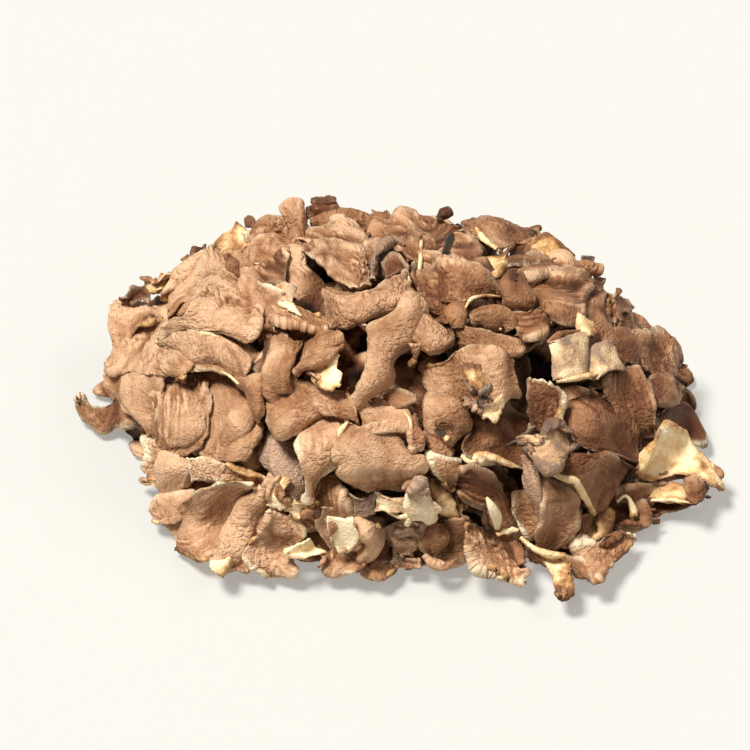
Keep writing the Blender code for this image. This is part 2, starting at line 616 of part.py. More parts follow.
def add_sheet(name, points, stalk, chance, collection):
    """Adds a sheet, a little uneven, with a stalk behind it that runs into the core."""
    uneven = np.array([chance.uniform(-UNEVENNESS, UNEVENNESS) for _ in range(points.size)])
    points = points + uneven.reshape(points.shape)
    normals = grid_normals(points)
    if (normals @ SIGHT).mean() > 0.0:
        points, normals, stalk = points[:, ::-1], -normals[:, ::-1], stalk[:, ::-1]
    under = points - normals * MARGIN_THICKNESS
    middle = points[stalk].mean(axis=0)
    root = middle * STALK_SHARE / np.linalg.norm(middle / DOME)
    root[2] = max(root[2], LOWEST_STALK)
    under[stalk] = root + STALK_WIDTH_SHARE * (under[stalk] - middle)
    under[..., 2] = np.maximum(under[..., 2], LOWEST_UNDERSIDE)
    return add_closed_blade(name, points, under, collection)


def dome_normal(point):
    """Outward direction of the dome at a point, eased upward near the ground."""
    normal = unit(point / DOME**2)
    ease = max(0.0, 1.0 - point[2] / LOW_EASE_HEIGHT)
    return unit(normal + np.array([0.0, 0.0, LOW_EASE_LEAN * ease]))


def turned(vector, axis, degrees):
    """The vector turned about an axis."""
    angle = math.radians(degrees)
    along = axis * (axis @ vector) * (1.0 - math.cos(angle))
    return vector * math.cos(angle) + np.cross(axis, vector) * math.sin(angle) + along


def bend_tables(angle_at, low, high, steps=160):
    """Sample places, run and drop of a strip that turns by angle_at(place) radians."""
    places = np.linspace(low, high, steps)
    angles = angle_at(places)
    gap = places[1] - places[0]
    run = np.concatenate([[0.0], np.cumsum((np.cos(angles[1:]) + np.cos(angles[:-1])) * 0.5 * gap)])
    drop = np.concatenate([[0.0], np.cumsum((np.sin(angles[1:]) + np.sin(angles[:-1])) * 0.5 * gap)])
    run -= np.interp(0.0, places, run)
    drop -= np.interp(0.0, places, drop)
    return places, run, drop


def smooth(low, high, value):
    """Smooth step from 0 to 1 between low and high."""
    share = np.clip((value - low) / (high - low), 0.0, 1.0)
    return share * share * (3.0 - 2.0 * share)


def blade_points(blade, length, width, shares, sides, chance):
    """Points of the blade in its own axes, which run across, along and out.

    The shares run along its length from 0 to 1 and the sides across its width from -1 to 1.
    """
    share, side = np.meshgrid(shares, sides, indexing="ij")
    phases = [chance.uniform(0.0, 2.0 * math.pi) for _ in range(8)]
    cup = math.radians(blade.cup)
    edge = math.radians(blade.edge)

    def cross_angle(place):
        rolled = edge * smooth(0.5, 1.0, np.abs(place)) * np.sign(place)
        return cup * place + rolled

    def long_angle(place):
        return math.radians(blade.arch) * place + 0.5 * edge * smooth(0.6, 1.0, place)

    cross_places, cross_run, cross_drop = bend_tables(cross_angle, -1.6, 1.6)
    long_places, long_run, long_drop = bend_tables(long_angle, -0.3, 1.4)
    half_width = 0.5 * width / max(np.interp(1.0, cross_places, cross_run), 0.35)
    length = length / max(np.interp(1.0, long_places, long_run), 0.5)

    opening = np.sin(0.5 * math.pi * np.minimum(share / WIDEST_AT, 1.0))
    widening = ROOT_END_SHARE + (1.0 - ROOT_END_SHARE) * opening
    narrowing = 1.0 - TIP_NARROWING * smooth(0.6, 1.0, share)
    broad = BROAD_LOBE * np.sin(2.3 * math.pi * side + phases[0])
    lobes = broad + NARROW_LOBE * np.sin(4.7 * math.pi * side + phases[1])
    across = side * half_width * widening * narrowing * (1.0 + 0.6 * lobes * share**2)
    rounding = 1.0 - CORNER_ROUNDING * np.abs(side) ** 2.2 * share**1.2
    along = length * share * rounding * (1.0 + lobes * share**2)

    ruffle = blade.wave * share**1.5 * np.sin(3.0 * math.pi * side + phases[2])
    folds = 0.5 * np.sin(0.42 * across + 0.25 * along + phases[3])
    folds += 0.5 * np.sin(0.5 * along - 0.3 * across + phases[4])
    height = ruffle + FOLD_SHARE * blade.wave * folds * share

    ratio = across / half_width
    angle = cross_angle(ratio)
    flat_across = half_width * np.interp(ratio, cross_places, cross_run) + height * np.sin(angle)
    out = -half_width * np.interp(ratio, cross_places, cross_drop) + height * np.cos(angle)

    ratio = along / length
    angle = long_angle(ratio)
    flat_along = length * np.interp(ratio, long_places, long_run) + out * np.sin(angle)
    flat_out = -length * np.interp(ratio, long_places, long_drop) + out * np.cos(angle)
    middle = np.array([
        0.0,
        length * np.interp(MIDDLE_AT, long_places, long_run),
        -length * np.interp(MIDDLE_AT, long_places, long_drop),
    ])
    return np.stack([flat_across, flat_along, flat_out], axis=-1) - middle


def blade_axes(blade, normal, grow):
    """Sideways, growing and outward directions of a blade after its tilt and roll."""
    sideways = unit(np.cross(grow, normal))
    outward = unit(np.cross(sideways, grow))
    grow = turned(grow, sideways, blade.tilt)
    outward = turned(outward, sideways, blade.tilt)
    sideways = turned(sideways, grow, blade.roll)
    outward = turned(outward, grow, blade.roll)
    return np.stack([sideways, grow, outward])


def blade_surface(form, place, normal, axes, length, width, shares, sides, chance):
    """Points of a blade's outer face, from its root inside the core to its margin."""
    local = blade_points(form, length, width, shares, sides, chance)
    blade = place + form.lift * normal + local @ axes
    neck = blade[0].mean(axis=0)
    root = neck * ROOT_DEPTH_SHARE
    root[2] = max(root[2], LOWEST_STALK)
    strip = np.array(sides)[:, None] * axes[0][None, :] * ROOT_WIDTH * 0.5
    return eased_ground(np.concatenate([(root + strip)[None, :, :], blade]))


def grid_normals(points):
    """Unit normal at each point of a grid of points."""
    down = np.gradient(points, axis=0)
    over = np.gradient(points, axis=1)
    normals = np.cross(over, down)
    return normals / np.maximum(np.linalg.norm(normals, axis=-1, keepdims=True), 1e-9)


def add_closed_blade(name, points, under, collection):
    """Adds a blade with the same triangles on both faces, closed round its margin."""
    rows, columns = points.shape[:2]
    mesh = bmesh.new()
    tops = [[mesh.verts.new(points[r, c] * MM) for c in range(columns)] for r in range(rows)]
    floors = [[mesh.verts.new(under[r, c] * MM) for c in range(columns)] for r in range(rows)]
    for r in range(rows - 1):
        for c in range(columns - 1):
            flip = (r + c) % 2 == 0
            for layer, upper in ((tops, True), (floors, False)):
                a, b = layer[r][c], layer[r][c + 1]
                d, e = layer[r + 1][c], layer[r + 1][c + 1]
                pair = [(a, b, e), (a, e, d)] if flip else [(a, b, d), (b, e, d)]
                for corners in pair:
                    mesh.faces.new(corners if upper else corners[::-1])
    ring = [(r, 0) for r in range(rows)] + [(rows - 1, c) for c in range(1, columns)]
    ring += [(r, columns - 1) for r in range(rows - 2, -1, -1)] + [(0, c) for c in range(columns - 2, 0, -1)]
    for here, there in zip(ring, ring[1:] + ring[:1]):
        corners = (tops[here[0]][here[1]], tops[there[0]][there[1]],
                   floors[there[0]][there[1]], floors[here[0]][here[1]])
        mesh.faces.new(corners[:3])
        mesh.faces.new((corners[0], corners[2], corners[3]))
    bmesh.ops.recalc_face_normals(mesh, faces=mesh.faces)
    return add_object(name, mesh, collection)


def add_object(name, mesh, collection):
    """Turns a bmesh into an object of a collection."""
    data = bpy.data.meshes.new(name)
    mesh.to_mesh(data)
    mesh.free()
    thing = bpy.data.objects.new(name, data)
    collection.objects.link(thing)
    return thing


def add_core(collection):
    """Lumpy dome inside the head that spreads from the stem."""
    mesh = bmesh.new()
    bmesh.ops.create_icosphere(mesh, subdivisions=2, radius=1.0)
    for vert in mesh.verts:
        x, y, z = vert.co
        lump = CORE_LUMP * (math.sin(7.0 * x + 1.0) * math.cos(6.0 * y) + 0.6 * math.sin(9.0 * z + 4.0 * x))
        size = CORE_SHARE * DOME + lump
        vert.co.x = x * size[0] * MM
        vert.co.y = y * size[1] * MM
        rise = size[2] - CORE_BOTTOM if z > 0.0 else CORE_SAG
        vert.co.z = (CORE_BOTTOM + z * rise) * MM
    return add_object("core", mesh, collection)


def add_stem(collection):
    """Short stem with the flat cut below."""
    mesh = bmesh.new()
    rings = []
    for share in STEM_LEVELS:
        grow = 1.0 + (STEM_SPREAD - 1.0) * share
        ring = []
        for k in range(STEM_SIDES):
            turn = 2.0 * math.pi * k / STEM_SIDES
            uneven = 1.0 + STEM_THREE_LOBES * math.sin(3.0 * turn + 0.5)
            uneven += STEM_FIVE_LOBES * math.sin(5.0 * turn)
            x = BASE_HALF_WIDTH * grow * uneven * math.cos(turn)
            y = BASE_HALF_DEPTH * grow * uneven * math.sin(turn)
            ring.append(mesh.verts.new((x * MM, y * MM, STEM_HEIGHT * share * MM)))
        rings.append(ring)
    for low, high in zip(rings, rings[1:]):
        for k in range(STEM_SIDES):
            n = (k + 1) % STEM_SIDES
            mesh.faces.new((low[k], low[n], high[n], high[k]))
    mesh.faces.new(rings[0][::-1])
    mesh.faces.new(rings[-1])
    bmesh.ops.recalc_face_normals(mesh, faces=mesh.faces)
    return add_object("stem", mesh, collection)


def add_front_sheets(collection):
    """Adds the faces and folds that are placed one by one."""
    chance = random.Random(SEED)
    for sheet in FRONT_SHEETS:
        points, stalk = face_grid(sheet) if isinstance(sheet, Face) else fold_grid(sheet)
        add_sheet(sheet.name, points, stalk, chance, collection)


def far_blade_underside(points):
    """Points of the underside of a blade, thick at its root and thin at its margin."""
    rows, columns = points.shape[:2]
    share = np.linspace(0.0, 1.0, rows)[:, None]
    side = np.abs(np.linspace(-1.0, 1.0, columns))[None, :]
    thickness = MARGIN_THICKNESS + ROOT_THICKNESS * (1.0 - share) * (1.0 - side**2)
    under = points - grid_normals(points) * thickness[..., None]
    under[..., 2] = np.maximum(under[..., 2], LOWEST_UNDERSIDE)
    return under


def add_far_blades(collection):
    """Adds the blades of the far side in rings, by a seeded rule."""
    chance = random.Random(SEED)
    for ring, (height, first, last, number) in enumerate(FAR_RINGS):
        for k in range(number):
            turn = first + (last - first) * k / (number - 1) + chance.uniform(-FAR_TURN, FAR_TURN)
            rise = math.radians(height + chance.uniform(-FAR_RISE, FAR_RISE))
            angle = math.radians(turn)
            place = DOME * np.array([
                math.cos(rise) * math.cos(angle), math.cos(rise) * math.sin(angle), math.sin(rise),
            ])
            normal = dome_normal(place)
            away = place * np.array([1.0, 1.0, 0.0]) - np.array([0.0, 0.0, FAR_DROOP])
            grow = unit(away - normal * (away @ normal))
            grow = turned(grow, normal, chance.uniform(-FAR_SWING, FAR_SWING))
            form = Blade(
                f"far_{ring}_{k}",
                cup=chance.uniform(30.0, 50.0),
                edge=chance.uniform(5.0, 20.0),
                arch=chance.uniform(15.0, 25.0),
                tilt=chance.uniform(20.0, 30.0),
                roll=chance.uniform(-12.0, 12.0),
                wave=chance.uniform(1.0, 2.0),
                lift=chance.uniform(-1.0, 3.0),
            )
            axes = blade_axes(form, normal, grow)
            length = chance.uniform(*FAR_LENGTH)
            width = chance.uniform(*FAR_WIDTH)
            sides = np.linspace(-1.0, 1.0, FAR_COLUMNS)
            points = blade_surface(form, place, normal, axes, length, width, FAR_SHARES, sides, chance)
            add_closed_blade(form.name, points, far_blade_underside(points), collection)


def make_material(name, color, roughness):
    """A plain surface for the dried flesh."""
    material = bpy.data.materials.new(name)
    material.use_nodes = True
    shader = material.node_tree.nodes["Principled BSDF"]
    shader.inputs["Base Color"].default_value = (*color, 1.0)
    shader.inputs["Roughness"].default_value = roughness
    return material


def fuse(head, pieces):
    """Joins all pieces of a collection to the head and removes them."""
    joint = head.modifiers.new("fuse", "BOOLEAN")
    joint.operation = "UNION"
    joint.operand_type = "COLLECTION"
    joint.collection = pieces
    joint.solver = "MANIFOLD"
    graph = bpy.context.evaluated_depsgraph_get()
    fused = bpy.data.meshes.new_from_object(head.evaluated_get(graph))
    head.modifiers.clear()
    head.data = fused
    for thing in list(pieces.objects):
        bpy.data.objects.remove(thing)
    bpy.data.collections.remove(pieces)


def keep_largest_shell(thing):
    """Drops loose scraps and fills sealed hollows by keeping the outermost body."""
    mesh = bmesh.new()
    mesh.from_mesh(thing.data)
    bmesh.ops.remove_doubles(mesh, verts=mesh.verts, dist=MERGE_DISTANCE)
    bmesh.ops.triangulate(mesh, faces=mesh.faces)
    left = set(mesh.faces)
    shells = []
    while left:
        start = left.pop()
        shell = [start]
        waiting = [start]
        while waiting:
            face = waiting.pop()
            for edge in face.edges:
                for other in edge.link_faces:
                    if other in left:
                        left.discard(other)
                        shell.append(other)
                        waiting.append(other)
        shells.append(shell)
    shells.sort(key=len, reverse=True)
    for shell in shells[1:]:
        bmesh.ops.delete(mesh, geom=shell, context="FACES")
    mesh.to_mesh(thing.data)
    mesh.free()


def main():
    """Builds the head as one closed body."""
    for thing in list(bpy.data.objects):
        bpy.data.objects.remove(thing)
    scene_collection = bpy.context.scene.collection
    pieces = bpy.data.collections.new("pieces")
    scene_collection.children.link(pieces)
    head = add_stem(scene_collection)
    head.name = "maitake_head"
    add_core(pieces)
    add_front_sheets(pieces)
    add_far_blades(pieces)
    fuse(head, pieces)
    keep_largest_shell(head)
    head.data.materials.clear()
    head.data.materials.append(make_material("dried_maitake", (0.42, 0.27, 0.17), 0.8))


main()
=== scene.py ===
"""The looks of a dried maitake head: fine waved fronds, a wrinkled skin, cream pores, light and camera."""

import logging
import math
import random
from dataclasses import dataclass, replace
from enum import Enum

import bmesh
import bpy
import numpy as np
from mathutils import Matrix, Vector


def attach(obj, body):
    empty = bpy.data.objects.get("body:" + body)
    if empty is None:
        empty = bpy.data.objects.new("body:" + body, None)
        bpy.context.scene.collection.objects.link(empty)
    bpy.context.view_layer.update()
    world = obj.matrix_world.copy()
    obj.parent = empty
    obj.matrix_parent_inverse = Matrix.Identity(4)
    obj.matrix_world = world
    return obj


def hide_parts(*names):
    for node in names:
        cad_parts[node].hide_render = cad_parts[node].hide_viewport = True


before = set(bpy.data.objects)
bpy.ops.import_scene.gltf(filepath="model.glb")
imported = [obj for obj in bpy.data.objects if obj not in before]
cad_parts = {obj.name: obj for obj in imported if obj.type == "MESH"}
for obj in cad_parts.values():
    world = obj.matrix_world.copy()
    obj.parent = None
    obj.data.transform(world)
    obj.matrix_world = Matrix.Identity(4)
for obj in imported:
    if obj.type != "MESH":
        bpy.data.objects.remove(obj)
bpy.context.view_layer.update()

MM = 0.001
LOG = logging.getLogger("maitake")
# The front is built on a plane that faces the camera, which looks down at the slope of the head.
SLOPE = math.radians(50.0)
SIGHT = np.array([0.0, math.cos(SLOPE), -math.sin(SLOPE)])
RISE = np.array([0.0, math.sin(SLOPE), math.cos(SLOPE)])
SEED = 11


class Side(Enum):
    """Which side of a frond shows."""

    SKIN = 0
    PORES = 1


@dataclass(frozen=True)
class Frond:
    """The form of one frond of the far side or the inside, in mm and degrees."""

    name: str
    cup: float = 40.0
    edge: float = 12.0
    arch: float = 20.0
    tilt: float = 23.0
    roll: float = 0.0
    wave: float = 1.2
    lift: float = 0.0
    root: float = 0.55
    tone: float = 0.6
    rough: float = 0.5
    ribs: float = 0.3
    ragged: float = 0.5
    curl: float = 28.0
    pale: float = 0.0
    lilac: float = 0.0
    side: Side = Side.SKIN


@dataclass(frozen=True)
class Fold:
    """A rolled or saddled strip: its crest as across, up and lift toward the eye in mm, then its form."""

    name: str
    crest: tuple[tuple[float, float, float], ...]
    widths: tuple[float, ...]
    bow: float = 80.0
    sharp: float = 0.0
    skirt: float = 5.0
    wave: float = 0.9
    tone: float = 0.65
    rough: float = 0.5
    ribs: float = 0.3
    ragged: float = 0.4
    pale: float = 0.0
    lilac: float = 0.0
    side: Side = Side.SKIN


@dataclass(frozen=True)
class Face:
    """A broad part of a frond as it shows, between its two edges.

    Each row is across and up of the first edge, across and up of the second edge, then the lift toward the
    eye, all in mm. Rolls are the radii that the first edge, second edge, start and end turn under by, below
    nought where they turn up. Sags are how far the two edges hang below the middle.
    """

    name: str
    rows: tuple[tuple[float, float, float, float, float], ...]
    rolls: tuple[float, float, float, float] = (1.5, 1.5, 1.5, 1.5)
    sags: tuple[float, float] = (1.0, 1.0)
    wave: float = 0.8
    tone: float = 0.65
    rough: float = 0.5
    ribs: float = 0.25
    ragged: float = 0.5
    pale: float = 0.0
    lilac: float = 0.0
    side: Side = Side.SKIN


@dataclass
class Sheet:
    """A sheet by row and column: points and flat places in mm, nearness to the margin, relief in mm."""

    points: np.ndarray
    flat: np.ndarray
    margin: np.ndarray
    height: np.ndarray


def unit(vector: np.ndarray) -> np.ndarray:
    """The vector at length one."""
    return vector / np.linalg.norm(vector)


def turned(vector: np.ndarray, axis: np.ndarray, degrees: float) -> np.ndarray:
    """Turns a vector about an axis.

    Args:
        vector: the vector.
        axis: the axis, of length one.
        degrees: the angle.

    Returns:
        The turned vector.
    """
    angle = math.radians(degrees)
    along = axis * (axis @ vector) * (1.0 - math.cos(angle))
    return vector * math.cos(angle) + np.cross(axis, vector) * math.sin(angle) + along


def smooth(low: float, high: float, value: np.ndarray) -> np.ndarray:
    """Smooth step from 0 to 1 between low and high."""
    share = np.clip((value - low) / (high - low), 0.0, 1.0)
    return share * share * (3.0 - 2.0 * share)


@dataclass(frozen=True)
class Dome:
    """The dome that the middles of the fronds lie on, as half sizes in mm."""

    half_width: float = 80.0
    half_depth: float = 54.0
    height: float = 53.0
    lowest: float = 5.0
    edge_ease: float = 0.06
    ground_ease: float = 4.0
    ground_reach: float = 22.0
    ground_flare: float = 0.55

    @property
    def sizes(self) -> np.ndarray:
        """Half sizes along X, Y and Z."""
        return np.array([self.half_width, self.half_depth, self.height])

    def shown(self, across: np.ndarray, up: np.ndarray, lift: np.ndarray) -> np.ndarray:
        """Points that show at given places of the front slope.

        Args:
            across: distances to the right in mm.
            up: distances up the slope in mm.
            lift: distances out of the dome toward the eye in mm.

        Returns:
            The points in mm.
        """
        start = across[..., None] * np.array([1.0, 0.0, 0.0]) + up[..., None] * RISE
        scaled = start / self.sizes
        step = SIGHT / self.sizes
        square = step @ step
        half = scaled @ step
        spread = half * half - square * ((scaled**2).sum(axis=-1) - 1.0)
        soft = 0.5 * (spread + np.sqrt(spread**2 + (self.edge_ease * square) ** 2))
        depth = (half + np.sqrt(soft)) / square
        floor = (self.lowest - up * math.cos(SLOPE)) / math.sin(SLOPE)
        gap = depth - floor
        depth = floor + 0.5 * (gap + np.sqrt(gap**2 + self.ground_ease**2))
        return start - (depth + lift)[..., None] * SIGHT

    def normal(self, point: np.ndarray) -> np.ndarray:
        """Outward direction at a point, eased upward near the ground."""
        ease = max(0.0, 1.0 - point[2] / self.ground_reach)
        return unit(unit(point / self.sizes**2) + np.array([0.0, 0.0, self.ground_flare * ease]))


@dataclass(frozen=True)
class Pattern:
    """A random relief over a sheet: its sizes in mm, its place in the lattice and its strength."""

    sizes: tuple[float, float]
    place: tuple[float, float] = (0.0, 0.0)
    strength: float = 1.0


@dataclass(frozen=True)
class EdgePattern:
    """A random relief along an edge: size in mm, place and row in the lattice, rows between two edges."""

    size: float
    place: float
    row: float
    strength: float = 1.0
    apart: float = 3.0


class Relief:
    """Smooth random relief from a seeded lattice of slopes."""

    cells = 64

    def __init__(self, seed: int) -> None:
        """Draws the lattice."""
        self.turns = np.random.default_rng(seed).uniform(0.0, 2.0 * math.pi, (self.cells, self.cells))

    def at(self, x: np.ndarray, y: np.ndarray) -> np.ndarray:
        """Height at places given in lattice steps.

        Args:
            x: places along the first direction.
            y: places along the second direction.

        Returns:
            Heights between about -0.7 and 0.7.
        """
        column = np.floor(x).astype(int)
        row = np.floor(y).astype(int)
        fx, fy = x - column, y - row
        height = np.zeros_like(fx)
        for i in (0, 1):
            for j in (0, 1):
                turn = self.turns[(column + i) % self.cells, (row + j) % self.cells]
                slope = np.cos(turn) * (fx - i) + np.sin(turn) * (fy - j)
                near_x = 1.0 - np.abs(fx - i)
                near_y = 1.0 - np.abs(fy - j)
                fade = near_x**3 * (near_x * (near_x * 6 - 15) + 10)
                fade = fade * near_y**3 * (near_y * (near_y * 6 - 15) + 10)
                height += fade * slope
        return height

    def over(self, pattern: Pattern, across: np.ndarray, along: np.ndarray) -> np.ndarray:
        """Height of a pattern at places in mm."""
        (wide, long), (first, second) = pattern.sizes, pattern.place
        return pattern.strength * self.at(across / wide + first, along / long + second)

    def beside(self, pattern: EdgePattern, along: np.ndarray, side: np.ndarray) -> np.ndarray:
        """Height of an edge pattern at places along an edge in mm, apart for the two sides."""
        row = pattern.apart * np.sign(side) + pattern.row
        return pattern.strength * self.at(along / pattern.size + pattern.place, row)


class Warp:
    """A gentle random bending of space that all fronds share."""

    lengths = (16.0, 34.0)

    def __init__(self, seed: int, push: float = 0.45, waves: int = 9) -> None:
        """Draws the waves.

        Args:
            seed: seed of the draw.
            push: size of each wave's push in mm.
            waves: how many waves.
        """
        draw = np.random.default_rng(seed)
        ways = draw.normal(size=(waves, 3))
        self.ways = ways / np.linalg.norm(ways, axis=1, keepdims=True)
        self.ways *= (2.0 * math.pi / draw.uniform(*self.lengths, waves))[:, None]
        self.pushes = draw.normal(size=(waves, 3)) * push
        self.phases = draw.uniform(0.0, 2.0 * math.pi, waves)

    def moved(self, points: np.ndarray) -> np.ndarray:
        """The points after the bending.

        Args:
            points: points in mm.

        Returns:
            The bent points.
        """
        result = points.copy()
        for way, push, phase in zip(self.ways, self.pushes, self.phases):
            result += np.sin(points @ way + phase)[..., None] * push
        return result

    def deepened(self, points: np.ndarray) -> np.ndarray:
        """The points after the part of the bending that runs along the sight."""
        push = (self.moved(points) - points) @ SIGHT
        return points + push[..., None] * SIGHT


WARP = Warp(SEED)


def run_and_drop(angle: np.ndarray, places: np.ndarray, axis: int, still: int) -> tuple[np.ndarray, ...]:
    """How far a bent strip runs and drops from one of its places.

    Args:
        angle: angle of the strip at each place.
        places: distance along the flat strip in mm.
        axis: array axis that the strip runs along.
        still: number of the place that stays at nought.

    Returns:
        Runs and drops.
    """
    gaps = np.diff(places, axis=axis)
    ahead = np.take(angle, range(1, angle.shape[axis]), axis=axis)
    behind = np.take(angle, range(angle.shape[axis] - 1), axis=axis)
    middle = 0.5 * (ahead + behind)
    results = []
    for part in (np.cos(middle) * gaps, np.sin(middle) * gaps):
        total = summed(part, axis)
        results.append(total - np.take(total, [still], axis=axis))
    return results[0], results[1]


def summed(steps: np.ndarray, axis: int) -> np.ndarray:
    """Running totals of steps along an axis, from nought."""
    first = np.zeros_like(np.take(steps, [0], axis=axis))
    return np.concatenate([first, np.cumsum(steps, axis=axis)], axis=axis)


def surface_normals(points: np.ndarray) -> np.ndarray:
    """Unit normals of a sheet, out of the side that shows.

    Args:
        points: points by row and column.

    Returns:
        One normal for each point.
    """
    along = np.gradient(points, axis=0)
    across = np.gradient(points, axis=1)
    normals = np.cross(across, along)
    return normals / np.maximum(np.linalg.norm(normals, axis=-1, keepdims=True), 1e-9)


def arc_places(points: np.ndarray) -> tuple[np.ndarray, np.ndarray]:
    """Distances over a sheet from its middle column and row.

    Args:
        points: points by row and column, in mm.

    Returns:
        Distances across and along, in mm.
    """
    places = []
    for axis in (1, 0):
        total = summed(np.linalg.norm(np.diff(points, axis=axis), axis=-1), axis)
        places.append(total - np.take(total, [points.shape[axis] // 2], axis=axis))
    return places[0], places[1]


@dataclass(frozen=True)
class Crumple:
    """The dried skin's dents, cells and wrinkles, with sizes and heights in mm."""

    swerve: Pattern = Pattern((7.0, 7.0), (50.0, 50.0), 2.0)
    dents: Pattern = Pattern((14.0, 14.0), (3.0, 0.0), 3.68)
    valleys: Pattern = Pattern((10.0, 12.0), (8.0, 41.0), 1.7)
    ridges: Pattern = Pattern((6.0, 7.0), (13.0, 17.0), 0.5)
    dryness: Pattern = Pattern((9.0, 9.0), (24.0, 52.0))
    dry_range: tuple[float, float] = (-0.1, 0.4)
    least_dry: float = 0.3
    most_dry: float = 1.4
    cells: Pattern = Pattern((2.9, 2.3), (20.0, 0.0))
    small_cells: Pattern = Pattern((1.5, 1.3), (5.0, 33.0), 0.5)
    cell_height: float = 1.3
    cell_contrast: float = 1.6
    ribs: Pattern = Pattern((1.8, 13.0), (31.0, 0.0))
    rib_swerve: float = 0.6

    def height(self, kind: "Frond | Fold | Face", relief: Relief, across: np.ndarray,
               along: np.ndarray) -> np.ndarray:
        """Height of the skin over a sheet.

        Args:
            kind: the frond, fold or face, for how rough, waved and ribbed it is.
            relief: its own relief.
            across: places across the flat sheet in mm.
            along: places along the flat sheet in mm.

        Returns:
            Heights in mm.
        """
        swerve = relief.over(self.swerve, across, along)
        waves = relief.over(self.dents, across, along)
        waves = waves + np.abs(relief.over(self.valleys, across + swerve, along - swerve))
        waves = waves - np.abs(relief.over(self.ridges, across + swerve, along - swerve))
        dry = smooth(*self.dry_range, relief.over(self.dryness, across, along))
        dry = self.least_dry + (self.most_dry - self.least_dry) * dry
        cells = np.abs(relief.over(self.cells, across + swerve, along + swerve))
        cells = cells + np.abs(relief.over(self.small_cells, across + swerve, along - swerve))
        ribs = np.abs(relief.over(self.ribs, across + self.rib_swerve * swerve, along))
        fine = self.cell_height * kind.rough**self.cell_contrast * cells + kind.ribs * ribs
        return kind.wave * waves + dry * fine


CRUMPLE = Crumple()


def crests(height: np.ndarray, rounds: int = 6) -> np.ndarray:
    """How far each place stands over its neighbourhood.

    Args:
        height: heights by row and column.
        rounds: how many times the neighbourhood is averaged.

    Returns:
        The differences.
    """
    soft = height
    for _ in range(rounds):
        wide = np.pad(soft, 1, mode="edge")
        soft = 0.2 * (soft + wide[:-2, 1:-1] + wide[2:, 1:-1] + wide[1:-1, :-2] + wide[1:-1, 2:])
    return height - soft


def eased_ground(points: np.ndarray, lowest: float = 1.6, ease: float = 2.0) -> np.ndarray:
    """Lifts the low points softly clear of the ground.

    Args:
        points: points in mm.
        lowest: the least height in mm.
        ease: height over it, in mm, from which points are lifted.

    Returns:
        The same points, changed.
    """
    level = points[..., 2]
    base = lowest + ease
    eased = lowest + ease * np.exp(np.minimum(level - base, 0.0) / ease)
    points[..., 2] = np.where(level < base, eased, level)
    return points


def spline(marks: np.ndarray, places: np.ndarray) -> np.ndarray:
    """Smooth values between rows of marks.

    Args:
        marks: one row of values per mark.
        places: places from 0 to 1 over all marks.

    Returns:
        One row of values per place.
    """
    ends = np.concatenate([[2 * marks[0] - marks[1]], marks, [2 * marks[-1] - marks[-2]]])
    at = np.clip(places, 0.0, 1.0) * (len(marks) - 1.000001)
    k = at.astype(int)
    t = (at - k)[:, None]
    a, b, c, d = ends[k], ends[k + 1], ends[k + 2], ends[k + 3]
    return 0.5 * (2 * b + (c - a) * t + (2 * a - 5 * b + 4 * c - d) * t**2 + (3 * b - a - 3 * c + d) * t**3)


def near_outline(face: Face) -> bool:
    """Whether a face lies at the outline of the head as it shows, taken as an ellipse."""
    across, up = np.array(face.rows, dtype=float)[:, 0:4].reshape(-1, 2).mean(axis=0)
    return math.hypot(across / 84.0, (up - 5.0) / 52.0) > 0.74


def over_hollow(face: Face) -> bool:
    """Whether a face covers a part of one of the dark hollows.

    Args:
        face: the face.

    Returns:
        True where it does.
    """
    places = np.array(face.rows, dtype=float)[:, 0:4].reshape(-1, 2)
    places = np.concatenate([places, 0.5 * (places[0::2] + places[1::2])])
    return any(np.hypot(*(places - (across, up)).T).min() < 0.8 * reach for across, up, reach in HOLLOWS)


@dataclass(frozen=True)
class Below:
    """How the frond below a face differs from it, in mm, degrees and tone; its darker tone is painted shade
    under the face.
    """

    grow: float = 1.7
    deeper: float = 4.5
    closer_left: float = 1.7
    left_from: tuple[float, float] = (15.0, 40.0)
    deeper_right: float = 1.3
    right_from: tuple[float, float] = (5.0, 35.0)
    turn: float = 14.0
    # Painted shade: how much darker the frond below is than the face over it.
    darker: tuple[float, float] = (0.1, 0.4)
    ragged: float = 1.2

    def face(self, face: Face, chance: random.Random) -> Face:
        """The frond below a face, which shows past its edges.

        The fronds lie closer to each other on the left side, where the head shows no deep gaps, and farther
        apart on the right side.

        Args:
            face: the face.
            chance: random draw for its turn and tone.

        Returns:
            The lower face.
        """
        marks = np.array(face.rows, dtype=float)
        ends = marks[:, 0:4].reshape(-1, 2)
        middle = ends.mean(axis=0)
        half = np.abs(ends - middle).mean()
        angle = math.radians(chance.uniform(-self.turn, self.turn))
        turn = np.array([[math.cos(angle), math.sin(angle)], [-math.sin(angle), math.cos(angle)]])
        marks[:, 0:4] = (middle + (ends - middle) @ turn * (1.0 + self.grow / half)).reshape(-1, 4)
        closer = self.closer_left * float(smooth(*self.left_from, -middle[0]))
        marks[:, 4] -= self.deeper - closer + self.deeper_right * float(smooth(*self.right_from, middle[0]))
        return replace(face, name=face.name + "_below", rows=tuple(map(tuple, marks)), rolls=(0.5,) * 4,
                       tone=face.tone - chance.uniform(*self.darker), ragged=self.ragged, side=Side.SKIN)


